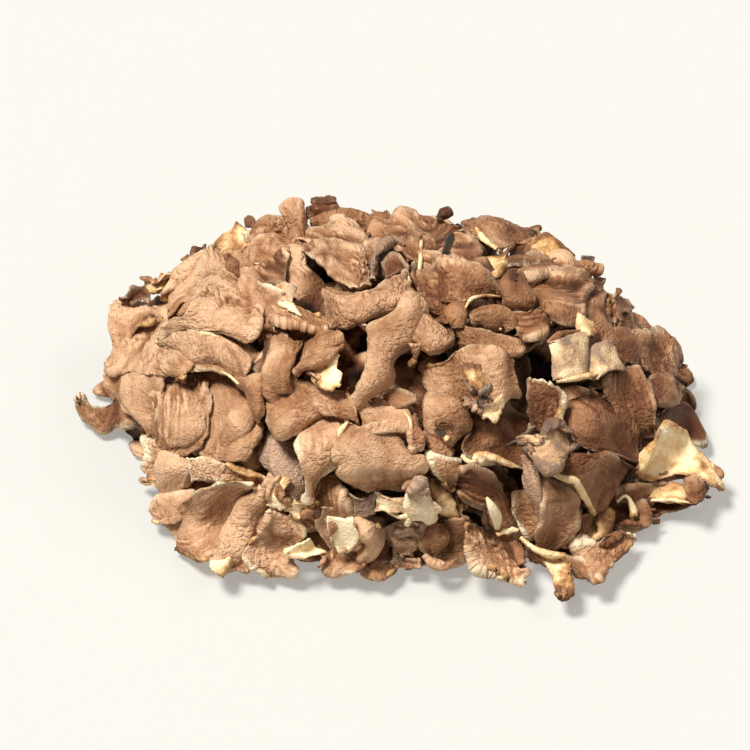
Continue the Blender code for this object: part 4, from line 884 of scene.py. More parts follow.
BOTTOM_SHEETS = [
    Face("cream_crumple_a", ((-33.8, -14.8, -31, -15.5, 4), (-37, -19, -32, -19.5, 5.5),
                             (-36.5, -23.8, -31, -23, 4.5)),
         rolls=(0.4, 0.8, 0.4, 0.4), tone=0.94, rough=1.0, ragged=1.4, side=PORED),
    Face("cream_crumple_b", ((-31.5, -20.5, -31, -25, 5), (-28, -22.3, -27, -26.7, 6),
                             (-23, -22.5, -24, -25, 4.5)),
         rolls=(-0.6, 0.6, 0.4, 0.4), tone=0.69, rough=1.2, ragged=1.6, side=PORED),
    Fold("cream_crumple_dark", ((-33.5, -16.5, 6.5), (-32.5, -20.5, 7), (-29.5, -22.5, 7)),
         (1.2, 2, 1.2), bow=60, skirt=0.8, tone=0.44, rough=0.8),
    Face("cream_square", ((-19.8, -25.8, -13, -25.8, 7), (-20.3, -30, -11.3, -31.5, 7.5),
                          (-16, -35.8, -15, -35.8, 6)),
         rolls=(0.3, 0.3, 0.6, 0.3), tone=1.6, rough=0.7, wave=0.4, ragged=0.8, side=PORED),
    Fold("cream_square_rim", ((-20.5, -26, 8), (-18.5, -28.5, 8.8), (-19.8, -31.5, 8)),
         (1.5, 2, 1.2), bow=60, skirt=0.5, tone=0.49, rough=1.0),
    Face("cream_curl", ((-31.3, -35, -30, -38.3, 6), (-27, -33.3, -25.5, -37, 7),
                        (-24, -31.8, -21, -35.7, 6)),
         rolls=(0.4, -0.8, 0.4, 0.5), tone=1.09, rough=0.5, wave=0.6, ragged=0.9, side=PORED),
    Fold("cream_curl_rim", ((-21, -35.8, 6.5), (-20.8, -38, 6.5), (-22.5, -40, 5)),
         (1.2, 1.6, 1), bow=70, skirt=1, tone=0.79),
    Fold("standing_ridge", ((-13, -25.5, 4), (-10, -30, 8), (-8.3, -34, 8), (-11.5, -38.5, 5)),
         (3, 4.2, 5, 4.5), bow=85, sharp=0.5, skirt=3, tone=0.94, rough=0.3),
    # A sheet deep in a gap, its low tone painted shade.
    Face("gap_bottom", ((-36, -27, -35, -36, 0), (-27, -28, -26, -38.5, 0.5), (-18, -28, -17, -38, 0)),
         rolls=(0.5, 0.5, 0.5, 0.5), tone=0.14),
    Face("low_brown_lobe", ((-23, -34, -13, -36, 3), (-21.5, -38, -9.5, -38.5, 4),
                            (-20, -41.5, -11.5, -41, 2)),
         rolls=(1.2, 1, 0.5, 1), tone=0.74, rough=0.6, pale=0.4),
    Face("grey_cup", ((-13.8, -19.8, -12.8, -26, 4), (-10, -20.3, -9.5, -25.8, 5),
                      (-7, -18, -7, -24.8, 4.5)),
         rolls=(-0.8, 0.5, 0.8, 0.5), tone=0.34, lilac=0.5, rough=0.3, pale=1.0),
    Face("grey_strip", ((-7, -18.5, -7, -23, 5), (-2, -20.5, -2, -24, 6), (4, -22, 3.5, -25.5, 5.5)),
         rolls=(0.6, -0.8, 0.5, 0.5), tone=0.64, rough=0.4, lilac=0.5, side=PORED),
    Face("grey_crumple", ((5.3, -15.8, 6, -15.8, 6), (1.5, -20, 8.3, -20, 7.5), (3.5, -24, 10.3, -24, 6.5),
                          (5.5, -28.3, 9.5, -27.3, 4)),
         rolls=(0.5, 0.8, 0.3, 0.5), tone=0.89, lilac=0.7, rough=0.6, wave=1.2, ragged=1.2, side=PORED),
    Fold("grey_hook", ((1, -18.5, 5), (3.5, -16, 6.5), (6.5, -13.8, 6)),
         (1.6, 2.4, 1.6), bow=70, skirt=1, tone=0.89),
    Fold("grey_rim", ((-3, -24.3, 6.5), (0, -25.8, 7), (3, -25, 7), (2, -28.3, 6.5)),
         (0.8, 1.4, 1.4, 0.8), bow=60, skirt=0.8, tone=1.04, side=PORED),
    Face("grey_leaf", ((-1, -29, 0, -31, 4), (3, -28.5, 4.5, -31, 5), (5.5, -29.5, 6, -30.5, 4)),
         rolls=(0.5, 0.8, 0.4, 0.4), tone=0.64, lilac=0.5),
    Face("olive_flap", ((7.5, -14, 14.5, -19, 2), (9, -19, 16, -22.5, 3), (11, -25.5, 16.5, -26.5, 2)),
         rolls=(0.5, 0.5, 0.5, 0.5), tone=0.44, rough=0.3, side=PORED),
    Face("bottom_a", ((-9.5, -26, -3, -27, -1), (-8.5, -32, -2.5, -33, 1), (-7.5, -38.5, -2, -38.5, 1)),
         rolls=(1, 1.5, 0.5, 1), tone=0.34, rough=0.4),
    Face("bottom_b", ((-3.5, -29, 1, -29, 2), (-1.5, -33, 5.2, -33, 4), (0, -37.3, 4, -36.5, 3)),
         rolls=(1.2, 1.5, 0.5, 1), tone=0.64, lilac=0.3, rough=0.3),
    Face("bottom_c", ((5, -28, 13, -27, 2), (5.3, -33, 14, -32, 4.5), (8, -38, 12, -36.5, 3)),
         rolls=(1.5, 1.5, -0.8, 1), tone=0.56, rough=0.4),
    Face("bottom_d", ((13, -26.5, 18.5, -26, 1.5), (14, -33, 19.3, -33, 3), (12, -39.3, 17, -37.5, 2)),
         rolls=(1.5, 1.2, 0.5, 1), tone=0.52, rough=0.4),
    Fold("bottom_rim", ((6.5, -36.5, 4), (9, -39, 5), (13, -39.3, 5), (16.5, -37, 4)),
         (1.6, 2.2, 2.2, 1.2), bow=70, skirt=1.5, tone=0.74),
    Face("bottom_tip_a", ((-10.5, -38.7, -9.5, -41, 2), (-5, -38.7, -5.5, -43.3, 3),
                          (0.5, -38.7, -1, -40.5, 2)),
         rolls=(0.8, 0.8, 0.5, 0.5), tone=0.59, rough=0.4),
    Face("bottom_tip_b", ((0.5, -37.5, 1, -40, 2), (6, -37.5, 6, -40, 2)),
         rolls=(0.8, 0.8, 0.5, 0.5), tone=0.64),
    # A sheet deep in a gap, its low tone painted shade.
    Face("gap_bottom_right", ((-12, -29, -12, -37.5, -1), (-3, -29, -3, -39, -0.5), (6, -28, 6, -38, -0.5),
                              (15, -27, 15, -36.5, -1)),
         rolls=(0.5, 0.5, 0.5, 0.5), tone=0.1),
]

TOP_SHEETS = [
    Face("back_hump", ((-42, 57, -43, 50, 0), (-37, 58.5, -38, 49, 2), (-32, 56, -33, 50, 1)),
         rolls=(2, 0.5, 1.5, 1), tone=0.45, rough=0.8),
    Face("dark_wrinkled", ((-44, 51.5, -41.5, 41, 2), (-38.5, 51, -38, 39, 3.5), (-31, 50, -31, 39, 2)),
         rolls=(1, 1, 0.5, 0.5), tone=0.25, rough=1.2),
    Fold("upright_finger", ((-29, 48.5, 5), (-29, 53, 7), (-29.5, 58, 6), (-30.7, 61.7, 3)),
         (5, 6.5, 7, 3.5), bow=95, skirt=1.5, tone=0.67, ribs=0.9, rough=0.3),
    Face("ragged_knob", ((-25.8, 57.5, -19.5, 57, 1), (-25.3, 61, -19, 60.5, 2.5),
                         (-23, 62.8, -20.5, 62.8, 1)),
         rolls=(1, 1, 0.5, 1), tone=0.05, rough=1.2, ragged=1.8),
    Fold("knob_hook", ((-21, 62, 2.5), (-19, 61.5, 3), (-18, 61.8, 3), (-17.3, 60.8, 2.5)),
         (0.9, 0.9, 0.8, 0.4), bow=90, skirt=0.2, tone=-0.15, wave=0.2, rough=0.2),
    Fold("back_roll", ((-25, 57.3, 0), (-20, 57.3, 2), (-13, 58, 3), (-9, 56.5, 2), (-7.3, 53.5, 0)),
         (3, 4, 5.2, 5, 3.5), bow=95, skirt=1.5, tone=0.45, rough=0.4),
    Face("thin_back", ((-8.3, 60.3, -8, 54, -1), (-4, 59.8, -4, 53, 0), (-1.5, 58, 0, 52, -1)),
         rolls=(0.3, 0.5, 0.5, 0.5), tone=0.45, rough=0.9, ragged=1.4),
    Face("broad_block", ((-28.5, 52.5, -27, 48, 3), (-23, 55.5, -21.5, 44.5, 7), (-16, 56.3, -17, 39.3, 9),
                         (-11, 55, -11.5, 37.8, 8), (-9.3, 51, -8, 38, 5)),
         rolls=(1.8, 1, 0.5, 2), tone=0.73, rough=0.9, pale=0.3),
    Face("funnel_side", ((-9.5, 54, -5.5, 52, 2), (-9.5, 47, -6.5, 47, 3.5), (-8.3, 40, -6.3, 41, 3)),
         rolls=(0.5, 1, 0.5, 0.5), tone=0.35, rough=0.4),
    Fold("funnel_rim", ((-7.5, 40.5, 4), (-7.2, 45, 6.5), (-5, 49.3, 7.5), (-1.5, 51.2, 7), (1.5, 50.3, 5)),
         (1.8, 2.6, 2.6, 2.2, 1), bow=60, skirt=1, tone=0.35, lilac=0.5, rough=0.3),
    # The inside of the funnel, its low tone painted shade.
    Face("funnel_inside", ((-6.5, 48, -6, 41, 0), (-2, 50.5, -1, 42, -1), (2.5, 49, 2.5, 41.5, 0)),
         rolls=(1, 1, 1, 1), sags=(-2, 0), tone=-0.25, rough=0.3),
    Face("funnel_leaf", ((-5, 44.5, -4.3, 40.5, 2), (-1.5, 46.8, 0, 42, 3), (2.5, 43, 2.5, 41, 2)),
         rolls=(0.8, 0.5, 0.5, 0.5), tone=0.2, rough=0.4),
    Face("broad_top", ((-5, 54.5, -3, 50, 1), (1, 59, 1, 47, 3), (7, 57.8, 7, 43, 4), (12, 57.5, 12, 45, 4),
                       (18.5, 55, 17, 52, 2)),
         rolls=(1, 0.5, 0.5, 1), tone=0.47, rough=0.9, wave=1.0),
    Fold("dark_tip", ((10.5, 57.3, 4), (12.5, 58.8, 5), (14.3, 60, 4)),
         (1.6, 2.4, 2.2), bow=90, skirt=0.5, tone=-0.35),
    Fold("thin_needle", ((5.4, 41.5, 6), (5.9, 45, 7.5), (6, 49, 7.5), (6.2, 51.5, 6.5)),
         (0.7, 1.2, 1.1, 0.7), bow=60, skirt=0.2, wave=0.1, rough=0.1, tone=0.6, side=PORED),
    Fold("needle_hook", ((6, 51, 7), (6.2, 52.5, 6.8), (7.5, 52.8, 6.3)),
         (0.7, 0.9, 0.4), bow=80, skirt=0.2, tone=-0.75, wave=0.1, rough=0.1),
    Face("grooved_block", ((6.3, 47, 6.3, 41, 4), (9.5, 46.5, 10, 41.5, 5), (13, 45.5, 13.5, 42, 4)),
         rolls=(0.5, 0.5, 0.5, 0.5), tone=0.47, ribs=1.4, rough=0.2),
    Fold("black_ribbon", ((12.7, 44.5, 5), (13.2, 49, 6.5), (15, 52.5, 6.5), (18.5, 53.8, 5)),
         (1.6, 2.2, 2, 1.2), bow=60, tone=-1.05, skirt=0.5, wave=0.3),
    Face("small_top_block", ((15, 51.3, 21.5, 50.5, 2), (14.5, 46, 22.3, 45, 4), (15, 42.5, 22, 42, 2)),
         rolls=(1.2, 1.5, 0.8, 0.5), tone=0.2, rough=1.0),
    Face("curled_fan", ((17.8, 56, 19, 53.5, 1), (23, 57.8, 22.5, 51, 3), (28, 57.5, 28, 48.3, 4.5),
                        (33, 55.3, 33, 50, 4), (39, 55, 38.5, 52.3, 2)),
         rolls=(1.8, 0.4, 0.5, 1), tone=0.49, rough=0.5, ribs=0.6),
    Fold("fan_dark_tip", ((36.5, 53.8, 4), (38.2, 53.6, 4.2), (38.4, 52.6, 4)),
         (1.4, 1.4, 0.8), bow=80, skirt=0.4, tone=-0.45),
    Fold("cream_streak", ((21.3, 54.8, 6), (23.5, 51.8, 7.2), (27, 48.8, 6.5)),
         (0.5, 2.2, 0.9), bow=40, skirt=0.2, tone=0.85, wave=0.2, side=PORED),
    Face("cream_cup", ((21.8, 46, 22, 41.5, 2), (25, 46.8, 26, 40.3, 3.5), (29, 48.5, 28, 42, 4.5),
                       (32, 50.8, 29.8, 45, 4)),
         rolls=(0.6, 1, 0.5, 0.5), tone=0.13, rough=0.3, side=PORED),
    Face("dark_wing", ((32, 50.5, 29, 42.5, 2), (36, 51.5, 33, 43.5, 3.5), (41, 50, 38, 43, 2)),
         rolls=(0.4, 0.5, 1, 0.5), tone=-0.03, rough=0.3, pale=0.5),
    Face("cream_back", ((34.5, 46, 36, 45.8, 2), (39, 51.8, 39, 46.3, 3.5), (43, 52, 43, 46, 3.5),
                        (49, 46.5, 48, 45.5, 2)),
         rolls=(0.5, 0.5, 0.5, 0.5), tone=0.15, rough=0.3, side=PORED),
    Face("brown_bar", ((29.5, 44, 31, 40.5, 2), (36, 47, 37, 40.5, 4), (44, 46.7, 44, 42, 4.5),
                       (51.5, 45.5, 50, 42.5, 2)),
         rolls=(0.8, 1, 0.8, 0.5), tone=0.33, rough=0.5, wave=0.9),
    Fold("far_tip_bar", ((48.5, 44.5, 3), (52.5, 44.2, 4.5), (57, 43, 3)),
         (2.6, 3.2, 2.2), bow=80, skirt=1, tone=0.53),
    Fold("far_tip_dark", ((51, 46.6, 2), (54.5, 45.4, 2)),
         (0.9, 0.9), bow=60, skirt=0.3, tone=-0.75),
    Face("far_tip", ((53.3, 38.5, 56.5, 36.5, 1), (55.5, 42, 58, 40.5, 2)),
         rolls=(0.5, 0.8, 0.5, 0.5), tone=-0.05),
    Face("reddish_tongue", ((29.8, 42.3, 34.3, 42.3, 5), (27.8, 38.5, 37, 38.5, 7.5),
                            (28.3, 34, 38, 34.5, 7.5), (29.3, 31, 37, 31.5, 5)),
         rolls=(2, 2, 2.5, 0.5), tone=0.35, rough=0.15, wave=0.5),
    # The hollow of the tongue, its low tone painted shade.
    Face("tongue_hollow", ((30, 42.5, 31, 39.5, 8.4), (32.5, 42.3, 32.5, 40, 8.4)),
         rolls=(0.4, 0.4, 0.4, 0.4), tone=-0.15, rough=0.1),
    Face("radial_face", ((37, 39.7, 38, 32.5, 3), (43, 41.8, 41, 30, 6.5), (49, 42.8, 46, 27.5, 7.5),
                         (53.5, 40.5, 51.5, 30, 4)),
         rolls=(1.5, 0.8, 0.5, 2), tone=0.41, ribs=1.5, rough=0.3),
    Face("right_centre", ((30, 31.8, 32.5, 24.3, 4), (36, 32.3, 36, 23.5, 6.5), (40, 32.8, 40, 25, 6.5),
                          (45.5, 32.8, 43, 28, 4)),
         rolls=(0.8, 1.2, 0.8, 0.5), tone=0.41, ribs=1.0, rough=0.3, pale=0.5),
    Face("right_shoulder", ((53, 39.5, 56.5, 37, 2), (51, 34, 59, 34.5, 4), (52.5, 28, 59.3, 28, 4),
                            (54, 22, 58.5, 22, 2)),
         rolls=(1, 1.5, 1, 0.5), tone=0.27, rough=0.4, ribs=0.5),
    Face("ragged_far_edge", ((57.5, 30, 60, 27.5, 1), (59.5, 35.8, 62, 30.5, 2.5),
                             (61.7, 36.8, 65, 32.5, 2)),
         rolls=(0.5, 0.5, 0.5, 0.5), tone=0.2, rough=0.9, ragged=1.8),
    Face("ragged_far_bit", ((60, 26.3, 62, 24.5, 1), (64, 29.3, 65, 25, 2), (68, 27.5, 68, 25, 1)),
         rolls=(0.5, 0.5, 0.5, 0.5), tone=0.25, rough=0.9, ragged=1.6),
    Face("broad_middle", ((7, 42, 6.5, 38, 4), (13, 45.5, 12, 33, 7), (18, 44, 18, 33.5, 8.5),
                          (24, 42, 24, 35.2, 8.5), (29, 36, 28.5, 35, 6)),
         rolls=(1.2, 0.3, 0.5, 0.5), tone=0.37, rough=0.7, wave=1.0),
    Fold("middle_pale_edge", ((18.2, 32, 8), (20, 34.6, 9.8), (24, 35.6, 9.8), (28.3, 35.2, 8)),
         (0.5, 1.2, 1.3, 0.6), bow=50, skirt=0.3, tone=0.55, wave=0.2, rough=0.2, side=PORED),
    Face("grey_under", ((19, 33.5, 18.5, 29, 2), (22, 34.5, 21, 31, 3), (26, 34, 25, 32, 2)),
         rolls=(0.5, 0.8, 0.5, 0.5), tone=0.15, lilac=0.7, rough=0.2, ribs=0.8),
    Face("crease_web", ((5.5, 41.5, 6, 31, 4), (9.5, 41.5, 10, 29.5, 5), (14.5, 40, 13.5, 29.5, 4.5)),
         rolls=(0.5, 1, 0.5, 1), tone=0.35, rough=0.8, wave=1.0),
    Fold("crease_a", ((18.5, 35, 6), (16.3, 31, 8), (16.3, 26.5, 6)),
         (3.5, 5, 3.5), bow=75, skirt=3, tone=0.43, rough=0.4),
    Fold("small_roll", ((19.5, 29, 5), (24, 30.2, 7.5), (29, 29.7, 7.5), (31.3, 26, 5)),
         (4.5, 6.2, 7, 4.5), bow=85, skirt=2, tone=0.47, rough=0.3, ribs=0.5),
    Face("level_fold", ((15, 27, 17, 21.5, 3), (20, 27.2, 22, 20.3, 6.5), (26, 25.5, 28, 19.3, 6.5),
                        (31, 23.5, 33, 20, 5.5), (37.5, 24.5, 36.5, 23.3, 3.5)),
         rolls=(1.2, 1.2, 0.5, 0.5), tone=0.57, ribs=0.9, rough=0.4),
    Face("scarred_face", ((6.3, 16.5, 6.3, 10, 2), (12, 18.3, 12, 8.3, 5.5), (18, 21.3, 18.5, 5.3, 8),
                          (24, 20.5, 25, 2.8, 9), (29, 19.7, 29.3, 6.5, 8), (31.7, 18.5, 32.2, 8.5, 5)),
         rolls=(1, 0.8, 0.5, 1.2), tone=0.65, rough=0.3, ribs=0.7, wave=0.9),
    Face("scar", ((18, 14.8, 19.8, 11.3, 9.6), (21, 15.2, 22.8, 8.3, 10.6), (24.2, 13.2, 25.2, 7.5, 10.2)),
         rolls=(0.4, 0.4, 0.4, 0.4), tone=0.35, rough=1.2, wave=0.6, ragged=1.2, side=PORED),
    Face("scar_dark", ((21.8, 8.2, 22.5, 6, 9.9), (24.3, 9.5, 24.8, 6.5, 10)),
         rolls=(0.3, 0.3, 0.3, 0.3), tone=-0.45, rough=1.2, ragged=1.6),
    Face("scar_margin", ((17.5, 6.8, 19, 4, 8), (21.5, 5.5, 22, 2, 9), (25.5, 4.8, 25.2, 1.3, 9),
                         (27.5, 7, 28, 4.5, 8)),
         rolls=(0.4, 0.4, 0.4, 0.4), tone=0.55, rough=1.4, ragged=1.6, lilac=0.3, side=PORED),
    Face("ragged_block", ((35, 13.3, 41, 11, 4), (35.3, 7, 44.8, 8.5, 6), (36, 1, 44.3, 1, 5),
                          (38, -2.5, 44, -2.5, 3)),
         rolls=(0.8, 1, 0.3, 1), tone=0.27, rough=1.0, ribs=0.5, ragged=1.3, pale=1.0),
]

RIGHT_SHEETS = [
    Face("cream_cube", ((41, 23.2, 42.4, 11.6, 6.5), (46, 24.3, 47, 12.4, 8.5),
                        (51.6, 24.8, 52.2, 13.8, 8.5)),
         rolls=(0.5, 0.3, 0.3, 0.3), tone=0.32, lilac=0.5, rough=0.4, wave=0.5, side=PORED),
    Fold("cube_brown_edge", ((40.8, 22.3, 7), (45, 25, 9.8), (50.5, 25.5, 9.8)),
         (1.2, 2, 1.5), bow=60, skirt=0.6, tone=0.37, rough=0.8),
    Fold("cube_pale_edge", ((43.5, 11.6, 8), (49, 12.6, 9.2), (55, 14, 9.2), (61.5, 16, 7)),
         (0.7, 1, 1, 0.6), bow=50, skirt=0.3, tone=0.82, wave=0.2, side=PORED),
    Face("cream_shelf", ((51.5, 19.8, 51.5, 13.5, 7), (55, 21.3, 55.5, 14, 8.5),
                         (58.7, 21.8, 59.5, 15, 7.5), (61.5, 17, 62, 15.8, 5)),
         rolls=(0.4, 0.3, 0.4, 0.4), tone=0.37, lilac=0.5, rough=0.9, ragged=0.9, side=PORED),
    Face("cream_point", ((48, 30.8, 48.7, 24.7, 8), (50, 30.3, 52, 24.2, 9.5), (53.3, 27, 53.7, 25, 7)),
         rolls=(0.4, 0.4, 0.5, 0.5), tone=0.47, rough=0.4, side=PORED),
    Face("shelf_back", ((52, 28, 52, 21, 4), (56, 29, 57, 21.5, 5), (60, 27, 60, 22, 3)),
         rolls=(1, 0.5, 0.5, 1), tone=0.32, rough=0.5),
    # A sheet deep in a gap, its low tone painted shade.
    Face("dark_gap_wall", ((30.5, 20, 36, 20, -3), (31.5, 12, 36.5, 12, -2), (33, 5, 37, 5, -2)),
         rolls=(1, 1, 0.5, 0.5), tone=-0.43, rough=0.1),
    Face("smooth_right", ((44.5, 4, 43.5, -4, 3), (51, 7.3, 51, -7, 6.5), (58, 7.5, 60, -9.3, 6.6),
                          (66, 4, 67, -11, 3)),
         rolls=(1.5, 1, 1, 1.6), tone=0.28, rough=0.15, wave=0.7, ribs=0.3),
    Face("right_middle", ((58, 15, 67, 15.5, 2), (56.5, 9, 69.5, 11, 4.5), (60, 3, 71, 3, 6),
                          (64, -4, 72, -5, 5)),
         rolls=(1, 1, 0.5, 0.8), tone=0.3, rough=0.3, ribs=0.7),
    Face("big_right_dome", ((43.5, -8, 41.5, -13, 4), (52, -7.3, 48.3, -16, 8), (60, -9.3, 52, -21, 9),
                            (65.8, -12, 54.3, -25.7, 6)),
         rolls=(1.2, 0.5, 0.5, 2.5), tone=0.3, rough=0.3, ribs=0.4, wave=0.7),
    Fold("dome_cream_edge", ((40.8, -13.2, 6), (45, -15, 8.5), (48.5, -15.8, 9.5), (50, -18, 9.5),
                             (52.3, -22, 9), (54.5, -25.5, 7.5)),
         (0.8, 1.8, 2.8, 2.6, 1.6, 1.8), bow=70, skirt=0.6, tone=0.62, wave=0.3, rough=0.4, side=PORED),
    Face("right_upper_lobe", ((60, 26, 63.5, 26.5, 3), (59.3, 21, 66.8, 22, 5.5), (62, 16.5, 66, 16, 4)),
         rolls=(1.2, 1.8, 1, 1), tone=0.24, rough=0.5),
    Face("right_top_fan", ((65.5, 24.7, 66, 15.5, 2), (70, 24.8, 71, 13.8, 4.5), (75, 25.3, 76, 13.8, 4.5),
                           (78.5, 19, 79, 14, 2)),
         rolls=(0.5, 1, 0.8, 0.5), tone=0.34, rough=1.0, ribs=0.3, ragged=1.5),
    Face("right_lobe", ((67.5, 11, 68, 8.5, 4), (71, 13.8, 71, 5.8, 6.5), (76, 13.8, 76, 5.8, 6.5),
                        (79.5, 11, 79, 9, 4)),
         rolls=(1.5, 1.8, 1, 1.5), tone=0.34, rough=0.5),
    Face("right_dark_fold", ((71, 2, 72, -2, 0), (77, 7, 77, -3, 1), (82, 4.5, 82, -5.5, 1.5),
                             (85.5, -2, 85.3, -6.3, 0)),
         rolls=(0.5, 0.5, 0.5, 0.5), tone=0.0, rough=0.3, pale=1.0),
    Face("right_edge_sheet", ((76, 13, 77, 6, 0), (80, 10, 80, 3, 0), (83, 5, 82, 0, -1)),
         rolls=(0.6, 0.5, 0.5, 0.5), tone=0.22, rough=0.3),
    Face("pored_fan", ((65.6, -12, 66, -14.5, 4), (69.8, -7, 70.5, -15, 6), (73.6, 0, 76, -14.4, 7.5),
                       (80, -3.8, 81.5, -15.2, 7.5), (86.5, -9.3, 86.5, -18.6, 6.5),
                       (90.5, -14.5, 89.8, -18.6, 4)),
         rolls=(0.4, -0.8, 0.5, 0.5), tone=0.57, rough=0.7, wave=0.8, ragged=0.6, side=PORED),
    Fold("under_fan_rim", ((66, -15.5, 4), (72, -14.8, 5.5), (79, -14.6, 5.5), (84.5, -16.8, 5)),
         (2, 3, 3, 2), bow=70, skirt=1.5, tone=0.32, rough=0.3),
    Face("cream_roll_long", ((69, -16, 69, -21.2, 5), (75, -16, 75, -21.5, 6.5),
                             (80.5, -16.8, 80, -21.5, 5.5)),
         rolls=(1, 1, 0.5, 0.5), tone=0.37, rough=0.6, side=PORED),
    Fold("roll_white_edge", ((70, -21.4, 6.5), (76, -21.4, 7), (82.5, -22.3, 6.5)),
         (0.6, 1, 0.6), bow=50, skirt=0.3, tone=0.92, wave=0.2, side=PORED),
    Face("brown_tip_right", ((79.5, -16.8, 79.5, -21, 6), (83, -16.3, 83, -22.2, 7.5),
                             (86.3, -18.5, 85.7, -20.2, 5.5)),
         rolls=(1.5, 1.2, 0.5, 1), tone=0.24, rough=0.5),
    Face("brown_flat", ((70, -20, 70, -26.3, 1), (76, -21, 76, -24.3, 1.5), (83.5, -21.3, 82.5, -22.7, 1)),
         rolls=(0.5, 0.5, 0.5, 0.5), tone=0.28, rough=0.2),
    Face("edge_lobe_a", ((60.5, -18.5, 61, -20.8, 4), (65, -17.3, 66, -22.2, 6),
                         (70.3, -16.8, 69.8, -22.2, 5)),
         rolls=(1, 1, 0.5, 0.8), tone=0.34, rough=0.3),
    Face("edge_lobe_b", ((64.8, -22.5, 65.8, -27.5, 4), (68, -21.8, 68.5, -28.7, 5.5),
                         (71, -24, 71.3, -27, 4)),
         rolls=(1.2, 1.2, 0.8, 1.2), tone=0.38, rough=0.3),
    Fold("lobe_cream_bit", ((60.5, -22, 5), (63, -20.5, 6.5), (65, -23.5, 7), (65.3, -26, 6)),
         (0.8, 1.4, 1.8, 0.9), bow=60, skirt=0.5, tone=0.82, rough=0.8, side=PORED),
    Fold("yellow_fold", ((59.5, -24, 4), (58, -27, 6.5), (57, -30, 6.5), (53, -32.3, 4.5)),
         (3, 4.5, 4, 2), bow=65, skirt=1, tone=0.32, rough=0.8, side=PORED),
    Fold("thin_leaf_a", ((51.5, -33, 5), (57, -33.5, 6), (62.5, -30.3, 5)),
         (0.8, 1.6, 1), bow=70, skirt=1, tone=0.07),
    Fold("thin_leaf_b", ((61, -28.3, 4), (65, -28, 5), (69, -28.8, 4)),
         (0.8, 1.4, 0.8), bow=70, skirt=1, tone=0.22),
    Face("low_dark_leaf", ((60, -21.5, 60, -29, 0), (65, -22, 65, -29.5, 1), (70, -24, 69, -29, 0)),
         rolls=(1, 1, 0.5, 0.5), tone=0.02, rough=0.3),
]

